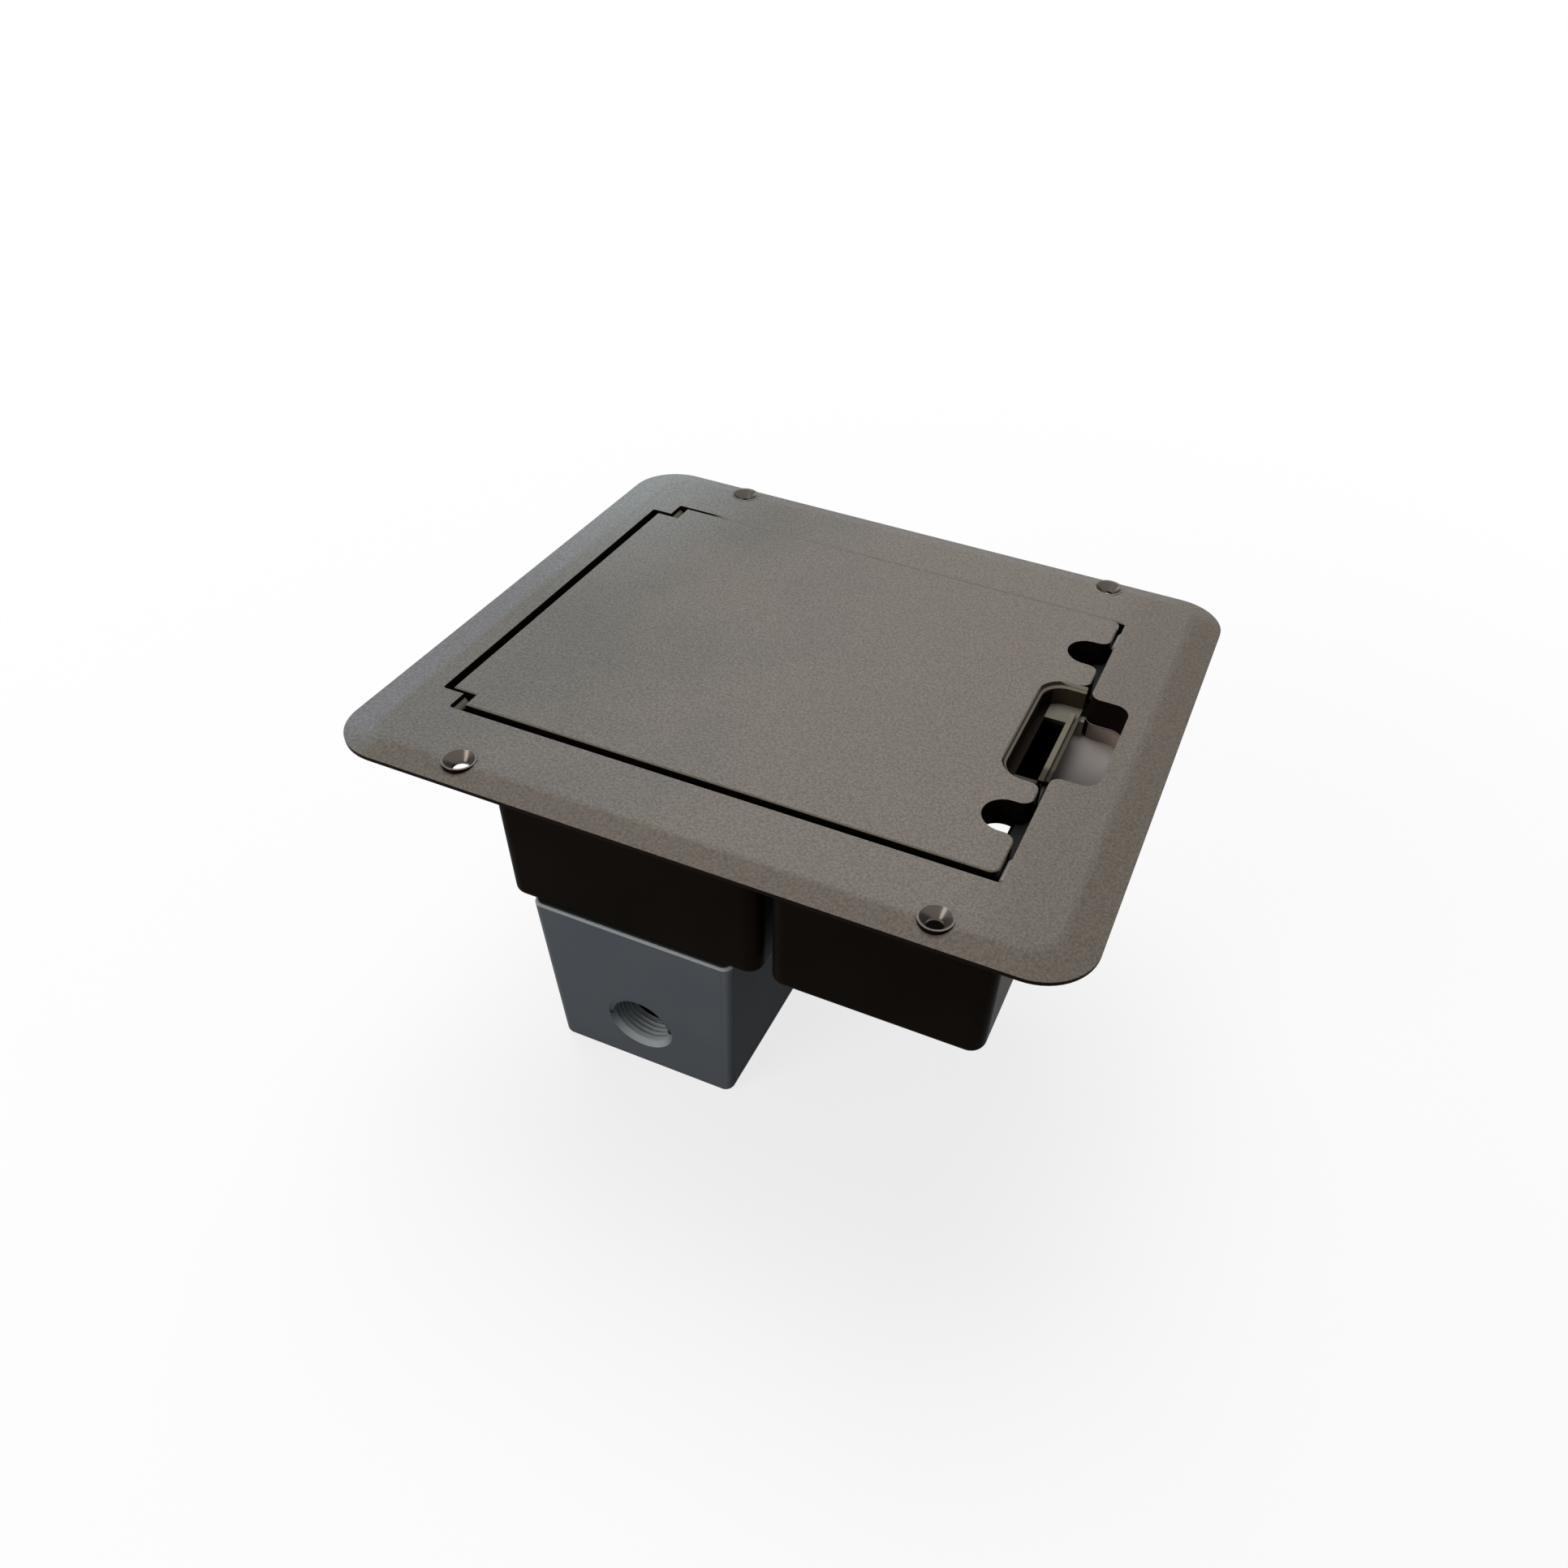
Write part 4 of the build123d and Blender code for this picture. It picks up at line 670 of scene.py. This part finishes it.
def thread_tree(name):
    """Node tree of a thread ridge: a diamond profile carried along a helix."""
    tree = bpy.data.node_groups.new(name, "GeometryNodeTree")
    inputs = {}
    for label in ("Radius", "Pitch", "Turns", "Ridge", "Taper", "Material"):
        kind = "NodeSocketMaterial" if label == "Material" else "NodeSocketFloat"
        socket = tree.interface.new_socket(label, in_out="INPUT", socket_type=kind)
        inputs[label] = socket.identifier
    tree.interface.new_socket("Geometry", in_out="OUTPUT", socket_type="NodeSocketGeometry")
    nodes = tree.nodes
    given = nodes.new("NodeGroupInput")
    helix = nodes.new("GeometryNodeCurveSpiral")
    helix.inputs["Resolution"].default_value = 48
    length = nodes.new("ShaderNodeMath")
    length.operation = "MULTIPLY"
    narrow = nodes.new("ShaderNodeMath")
    narrow.operation = "SUBTRACT"
    upright = nodes.new("GeometryNodeSetCurveNormal")
    upright.mode = "Z_UP"
    profile = nodes.new("GeometryNodeCurvePrimitiveCircle")
    profile.mode = "RADIUS"
    profile.inputs["Resolution"].default_value = 4
    ridge = nodes.new("GeometryNodeCurveToMesh")
    ridge.inputs["Fill Caps"].default_value = True
    realize = nodes.new("GeometryNodeRealizeInstances")
    painted = nodes.new("GeometryNodeSetMaterial")
    result = nodes.new("NodeGroupOutput")
    for source, output, target, socket in (
            (given, "Turns", helix, "Rotations"),
            (given, "Radius", helix, "Start Radius"),
            (given, "Radius", narrow, 0),
            (given, "Taper", narrow, 1),
            (narrow, "Value", helix, "End Radius"),
            (given, "Turns", length, 0),
            (given, "Pitch", length, 1),
            (length, "Value", helix, "Height"),
            (given, "Ridge", profile, "Radius"),
            (helix, "Curve", upright, "Curve"),
            (upright, "Curve", ridge, "Curve"),
            (profile, "Curve", ridge, "Profile Curve"),
            (ridge, "Mesh", realize, "Geometry"),
            (realize, "Geometry", painted, "Geometry"),
            (given, "Material", painted, "Material"),
            (painted, "Geometry", result, "Geometry")):
        tree.links.new(source.outputs[output], target.inputs[socket])
    return tree, inputs


def run_tree(name, tree, inputs, values, place, body):
    """Runs a node tree once and keeps its mesh as a plain piece that rides on a body."""
    carrier = bpy.data.objects.new(name + "_carrier", bpy.data.meshes.new(name + "_carrier"))
    bpy.context.scene.collection.objects.link(carrier)
    modifier = carrier.modifiers.new("Tree", "NODES")
    modifier.node_group = tree
    for label, value in values.items():
        modifier[inputs[label]] = value
    bpy.context.view_layer.update()
    graph = bpy.context.evaluated_depsgraph_get()
    mesh = bpy.data.meshes.new_from_object(carrier.evaluated_get(graph), depsgraph=graph)
    carrier.modifiers.remove(modifier)
    bpy.data.objects.remove(carrier)
    if not mesh.polygons:
        raise RuntimeError(f"{name} came out empty")
    mesh.transform(place)
    mesh.name = name
    piece = bpy.data.objects.new(name, mesh)
    bpy.context.scene.collection.objects.link(piece)
    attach(piece, body)


# Stage

def seen_directly(nodes, links):
    """Factor that is 1 for the rays that show the background: camera, glossy and transmission."""
    path = nodes.new("ShaderNodeLightPath")
    result = path.outputs["Is Camera Ray"]
    for kind in ("Is Glossy Ray", "Is Transmission Ray"):
        either = nodes.new("ShaderNodeMath")
        either.operation = "MAXIMUM"
        links.new(result, either.inputs[0])
        links.new(path.outputs[kind], either.inputs[1])
        result = either.outputs["Value"]
    return result


def add_floor(look):
    """Floor under the outlet box, which fades from a shadowed white to an even one further out."""
    level = CAD_BOX[0][2] - FLOOR_GAP
    mesh = bpy.data.meshes.new("floor")
    corners = [(x * FLOOR_HALF, y * FLOOR_HALF, level)
               for x, y in ((-1, -1), (1, -1), (1, 1), (-1, 1))]
    mesh.from_pydata(corners, [], [(0, 1, 2, 3)])
    floor = bpy.data.objects.new("floor", mesh)
    bpy.context.scene.collection.objects.link(floor)
    finish = Finish("Pale floor")
    finish.nodes.remove(finish.shader)
    away = finish.node("ShaderNodeVectorMath", operation="LENGTH")
    finish.links.new(finish.coordinate("Object"), away.inputs[0])
    plain = finish.node("ShaderNodeBsdfDiffuse", {"Color": (*look.floor_colour, 1.0)})
    pale = finish.node("ShaderNodeBsdfDiffuse", {"Color": (*look.background, 1.0)})
    white = finish.node("ShaderNodeEmission", {"Color": (*look.background, 1.0)})
    seen = finish.nodes.new("ShaderNodeMixShader")
    glow = finish.fade(away.outputs["Value"], SHADOW_FADE, GLOW_SHARE)
    finish.links.new(glow, seen.inputs["Fac"])
    finish.links.new(pale.outputs["BSDF"], seen.inputs[1])
    finish.links.new(white.outputs["Emission"], seen.inputs[2])
    mix = finish.nodes.new("ShaderNodeMixShader")
    finish.links.new(seen_directly(finish.nodes, finish.links), mix.inputs["Fac"])
    finish.links.new(plain.outputs["BSDF"], mix.inputs[1])
    finish.links.new(seen.outputs["Shader"], mix.inputs[2])
    finish.links.new(mix.outputs["Shader"], finish.nodes["Material Output"].inputs["Surface"])
    mesh.materials.append(finish.material)


def add_room_light(look):
    """Even room light, with a white background for the camera and for reflections."""
    world = bpy.data.worlds.new("Studio")
    bpy.context.scene.world = world
    world.use_nodes = True
    nodes = world.node_tree.nodes
    links = world.node_tree.links
    nodes.clear()
    mix = nodes.new("ShaderNodeMixShader")
    links.new(seen_directly(nodes, links), mix.inputs["Fac"])
    for socket, colour, strength in ((1, ROOM_COLOUR, look.sky), (2, look.background, 1.0)):
        light = nodes.new("ShaderNodeBackground")
        light.inputs["Color"].default_value = (*colour, 1.0)
        light.inputs["Strength"].default_value = strength
        links.new(light.outputs["Background"], mix.inputs[socket])
    output = nodes.new("ShaderNodeOutputWorld")
    links.new(mix.outputs["Shader"], output.inputs["Surface"])


def add_lamps():
    """Square soft lamps that face the object: above it, low at the hinge end and in front."""
    for name, place, size, power, colour in LAMPS:
        lamp = bpy.data.lights.new(name, "AREA")
        lamp.shape = "SQUARE"
        lamp.size = size
        lamp.energy = power
        lamp.color = colour
        holder = bpy.data.objects.new(name, lamp)
        bpy.context.scene.collection.objects.link(holder)
        holder.location = place
        aim = Vector(LAMP_TARGET) - Vector(place)
        holder.rotation_euler = aim.to_track_quat("-Z", "Y").to_euler()


def add_camera(look):
    """Camera at the photograph's viewing angle."""
    data = bpy.data.cameras.new("camera")
    data.sensor_width = 36.0
    data.lens = look.focal_length
    data.shift_x, data.shift_y = CAMERA_SHIFT
    data.clip_start = 0.01
    camera = bpy.data.objects.new("camera", data)
    bpy.context.scene.collection.objects.link(camera)
    camera.location = CAMERA_PLACE
    camera.rotation_euler = Euler([math.radians(angle) for angle in CAMERA_TURN], "XYZ")
    bpy.context.scene.camera = camera


# Operators

class DECKBOX_OT_flange(bpy.types.Operator):
    """Give the flange and lid their pebbled coating"""
    bl_idname = "deckbox.flange"
    bl_label = "Flange and Lid"

    def execute(self, context):
        look = context.scene.deckbox_flange
        spacing = mount("deck_screws")["dims"]
        screws = (spacing["spacing_x_mm"] / 2 * MM, spacing["spacing_y_mm"] / 2 * MM,
                  SCREW_SEAT_RADIUS)
        # The flange's well floor and lower wall colours are painted light
        flange = coated_moulding("Pebbled flange coating with painted light", look, FLANGE_WELL, look.floor_colour,
                                 look.wall_colour, FLANGE_WELL_WALL_TOP, screws=screws)
        dress(flange, "deck_frame")
        lid = coated_moulding("Pebbled lid coating with painted light", look, LID_WELL, look.grip_colour,
                              look.grip_wall_colour, LID_WELL_WALL_TOP,
                              shaded_strip=LID_WELL_SHADE_STRIP)
        dress(lid, "lid")
        return {"FINISHED"}


class DECKBOX_OT_wells(bpy.types.Operator):
    """Give the two wells and the plate above them their glossy dark skin"""
    bl_idname = "deckbox.wells"
    bl_label = "Wells"

    def execute(self, context):
        look = context.scene.deckbox_wells
        colour = tuple(look.colour)
        gloss = moulded_plastic("Glossy brown moulding", colour, mid(colour, BLACK, 0.25),
                                patch=30.0 * MM, grain=4.0 * MM, depth=0.06 * MM,
                                roughness=look.roughness, specular=0.006, edge=0.5 * MM)
        dress(gloss, "seat_plate", "receptacle_well", "cord_well")
        return {"FINISHED"}


class DECKBOX_OT_latch(bpy.types.Operator):
    """Finish the latch slider, its springs and keepers, the clips, the hinge pins and the screws"""
    bl_idname = "deckbox.latch"
    bl_label = "Latch and Hinge"

    def execute(self, context):
        look = context.scene.deckbox_flange
        slider = coated_slider("Smooth latch coating with painted shadow", tuple(look.latch_colour),
                               tuple(look.bare_colour), LATCH_SHADOW_FROM, LATCH_RIDGE_TOP)
        dress(slider, "latch_slider")
        steel = plain_metal("Stainless steel", *STAINLESS)
        dress(steel, "hinge_pins", "latch_keepers", "keeper_screws", "tub_screws", "box_screws",
              "cover_screws")
        # Painted highlight: light, half-diffuse steel on the clips
        bright = plain_metal("Clip steel with painted highlight", *HIGHLIT_CLIP_STEEL, roughness=0.45, metallic=0.5)
        dress(bright, "strike_clips")
        coil_springs(plain_metal("Spring wire", *SPRING_WIRE, roughness=0.3))
        return {"FINISHED"}


class DECKBOX_OT_outlet_box(bpy.types.Operator):
    """Paint the cast outlet box and add the ridges of its conduit thread"""
    bl_idname = "deckbox.outlet_box"
    bl_label = "Outlet Box"

    def execute(self, context):
        look = context.scene.deckbox_outlet_box
        colour = tuple(look.colour)
        low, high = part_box("outlet_box")
        hub = mount("conduit_hub")
        hub_x, _, hub_z = hub["pos_m"]
        radius = hub["dims"]["r_mm"] * MM
        # Painted highlight on the rim, the corners and the hub's mouth
        highlight = (tuple(look.rim_colour), high.z, hub_x, hub_z, radius)
        paint = painted_casting("Grey casting paint with painted highlights", colour, mid(colour, WHITE, 0.02), highlight=highlight)
        dress(paint, "outlet_box", "hub_plugs")
        # Painted light: the thread's paint is lighter than the box's, as if lit inside the hub
        inner = painted_casting("Hub paint with painted light", tuple(look.thread_colour),
                                mid(look.thread_colour, BLACK, 0.1), roughness=0.3, specular=0.2)
        green = painted_casting("Green screw coating", *GREEN_COATING, roughness=0.4)
        dress(green, "ground_screw")
        tree, inputs = thread_tree("Conduit thread")
        values = {"Radius": radius, "Pitch": look.thread_pitch, "Turns": THREAD_TURNS,
                  "Ridge": look.thread_depth, "Taper": THREAD_TAPER, "Material": inner}
        place = (Matrix.Translation((hub_x, low.y + THREAD_INSET, hub_z))
                 @ Matrix.Rotation(math.radians(-90), 4, "X"))
        run_tree("conduit_thread", tree, inputs, values, place, "base")
        return {"FINISHED"}


class DECKBOX_OT_receptacle(bpy.types.Operator):
    """Finish the receptacle, its buttons, strap, terminals and cover plate"""
    bl_idname = "deckbox.receptacle"
    bl_label = "Receptacle"

    def execute(self, context):
        look = context.scene.deckbox_receptacle
        colour = tuple(look.face_colour)
        face = moulded_plastic("Receptacle face", colour, mid(colour, BLACK, 0.1), patch=20.0 * MM,
                               grain=1.2 * MM, depth=0.008 * MM, roughness=0.3)
        dress(face, "receptacle_face", "cover_plate")
        dark = moulded_plastic("Dark back shell", *BACK_SHELL, patch=20.0 * MM, grain=1.0 * MM,
                               depth=0.02 * MM, roughness=0.5)
        dress(dark, "receptacle_body", "test_button")
        red = tuple(look.reset_colour)
        reset = moulded_plastic("Reset button", red, mid(red, BLACK, 0.1), patch=4.0 * MM,
                                grain=1.0 * MM, depth=0.01 * MM, roughness=0.4)
        dress(reset, "reset_button")
        glow = tuple(look.lens_colour)
        lens = moulded_plastic("Status lens", glow, mid(glow, WHITE, 0.2), patch=2.0 * MM,
                               grain=1.0 * MM, depth=0.005 * MM, roughness=0.15)
        dress(lens, "status_lens")
        dress(plain_metal("Zinc plate", *ZINC, roughness=0.32), "receptacle_strap", "device_screws")
        dress(plain_metal("Brass", *BRASS, roughness=0.25), "terminal_screws")
        return {"FINISHED"}


class DECKBOX_OT_seals(bpy.types.Operator):
    """Finish the gaskets and seals"""
    bl_idname = "deckbox.seals"
    bl_label = "Gaskets and Seals"

    def execute(self, context):
        foam = soft_rubber("Black foam", *FOAM, pore=1.2 * MM, depth=0.08 * MM)
        dress(foam, "deck_gasket", "cover_pad")
        dress(soft_rubber("Seal rubber", *RUBBER), "rim_seal", "box_gasket")
        return {"FINISHED"}


class DECKBOX_OT_stage(bpy.types.Operator):
    """Set up the floor, the background, the lights and the camera"""
    bl_idname = "deckbox.stage"
    bl_label = "Stage"

    def execute(self, context):
        look = context.scene.deckbox_stage
        add_floor(look)
        add_room_light(look)
        add_lamps()
        add_camera(look)
        context.scene.view_settings.view_transform = "Standard"
        return {"FINISHED"}


class DECKBOX_PT_panel(bpy.types.Panel):
    """Sidebar panel that lists the pieces and their settings"""
    bl_idname = "DECKBOX_PT_panel"
    bl_label = "Deck Power Box"
    bl_space_type = "VIEW_3D"
    bl_region_type = "UI"
    bl_category = "Deck Box"

    def draw(self, context):
        layout = self.layout
        for operator in OPERATORS:
            layout.operator(operator.bl_idname)
        for attribute, group in SETTINGS:
            column = layout.column(heading=group.__name__)
            values = getattr(context.scene, attribute)
            for key in group.__annotations__:
                column.prop(values, key)


SETTINGS = (
    ("deckbox_flange", FlangeSettings),
    ("deckbox_wells", WellSettings),
    ("deckbox_outlet_box", OutletBoxSettings),
    ("deckbox_receptacle", ReceptacleSettings),
    ("deckbox_stage", StageSettings),
)
OPERATORS = (
    DECKBOX_OT_flange,
    DECKBOX_OT_wells,
    DECKBOX_OT_latch,
    DECKBOX_OT_outlet_box,
    DECKBOX_OT_receptacle,
    DECKBOX_OT_seals,
    DECKBOX_OT_stage,
)


def register():
    """Registers the settings, the operators and the panel."""
    for attribute, group in SETTINGS:
        bpy.utils.register_class(group)
        setattr(bpy.types.Scene, attribute, bpy.props.PointerProperty(type=group))
    for operator in OPERATORS:
        bpy.utils.register_class(operator)
    bpy.utils.register_class(DECKBOX_PT_panel)


def unregister():
    """Takes back all that register adds."""
    bpy.utils.unregister_class(DECKBOX_PT_panel)
    for operator in reversed(OPERATORS):
        bpy.utils.unregister_class(operator)
    for attribute, group in reversed(SETTINGS):
        delattr(bpy.types.Scene, attribute)
        bpy.utils.unregister_class(group)


def main():
    """Builds the dressed model and the stage."""
    register()
    bpy.ops.deckbox.flange()
    bpy.ops.deckbox.wells()
    bpy.ops.deckbox.latch()
    bpy.ops.deckbox.outlet_box()
    bpy.ops.deckbox.receptacle()
    bpy.ops.deckbox.seals()
    bpy.ops.deckbox.stage()


if __name__ == "__main__":
    main()
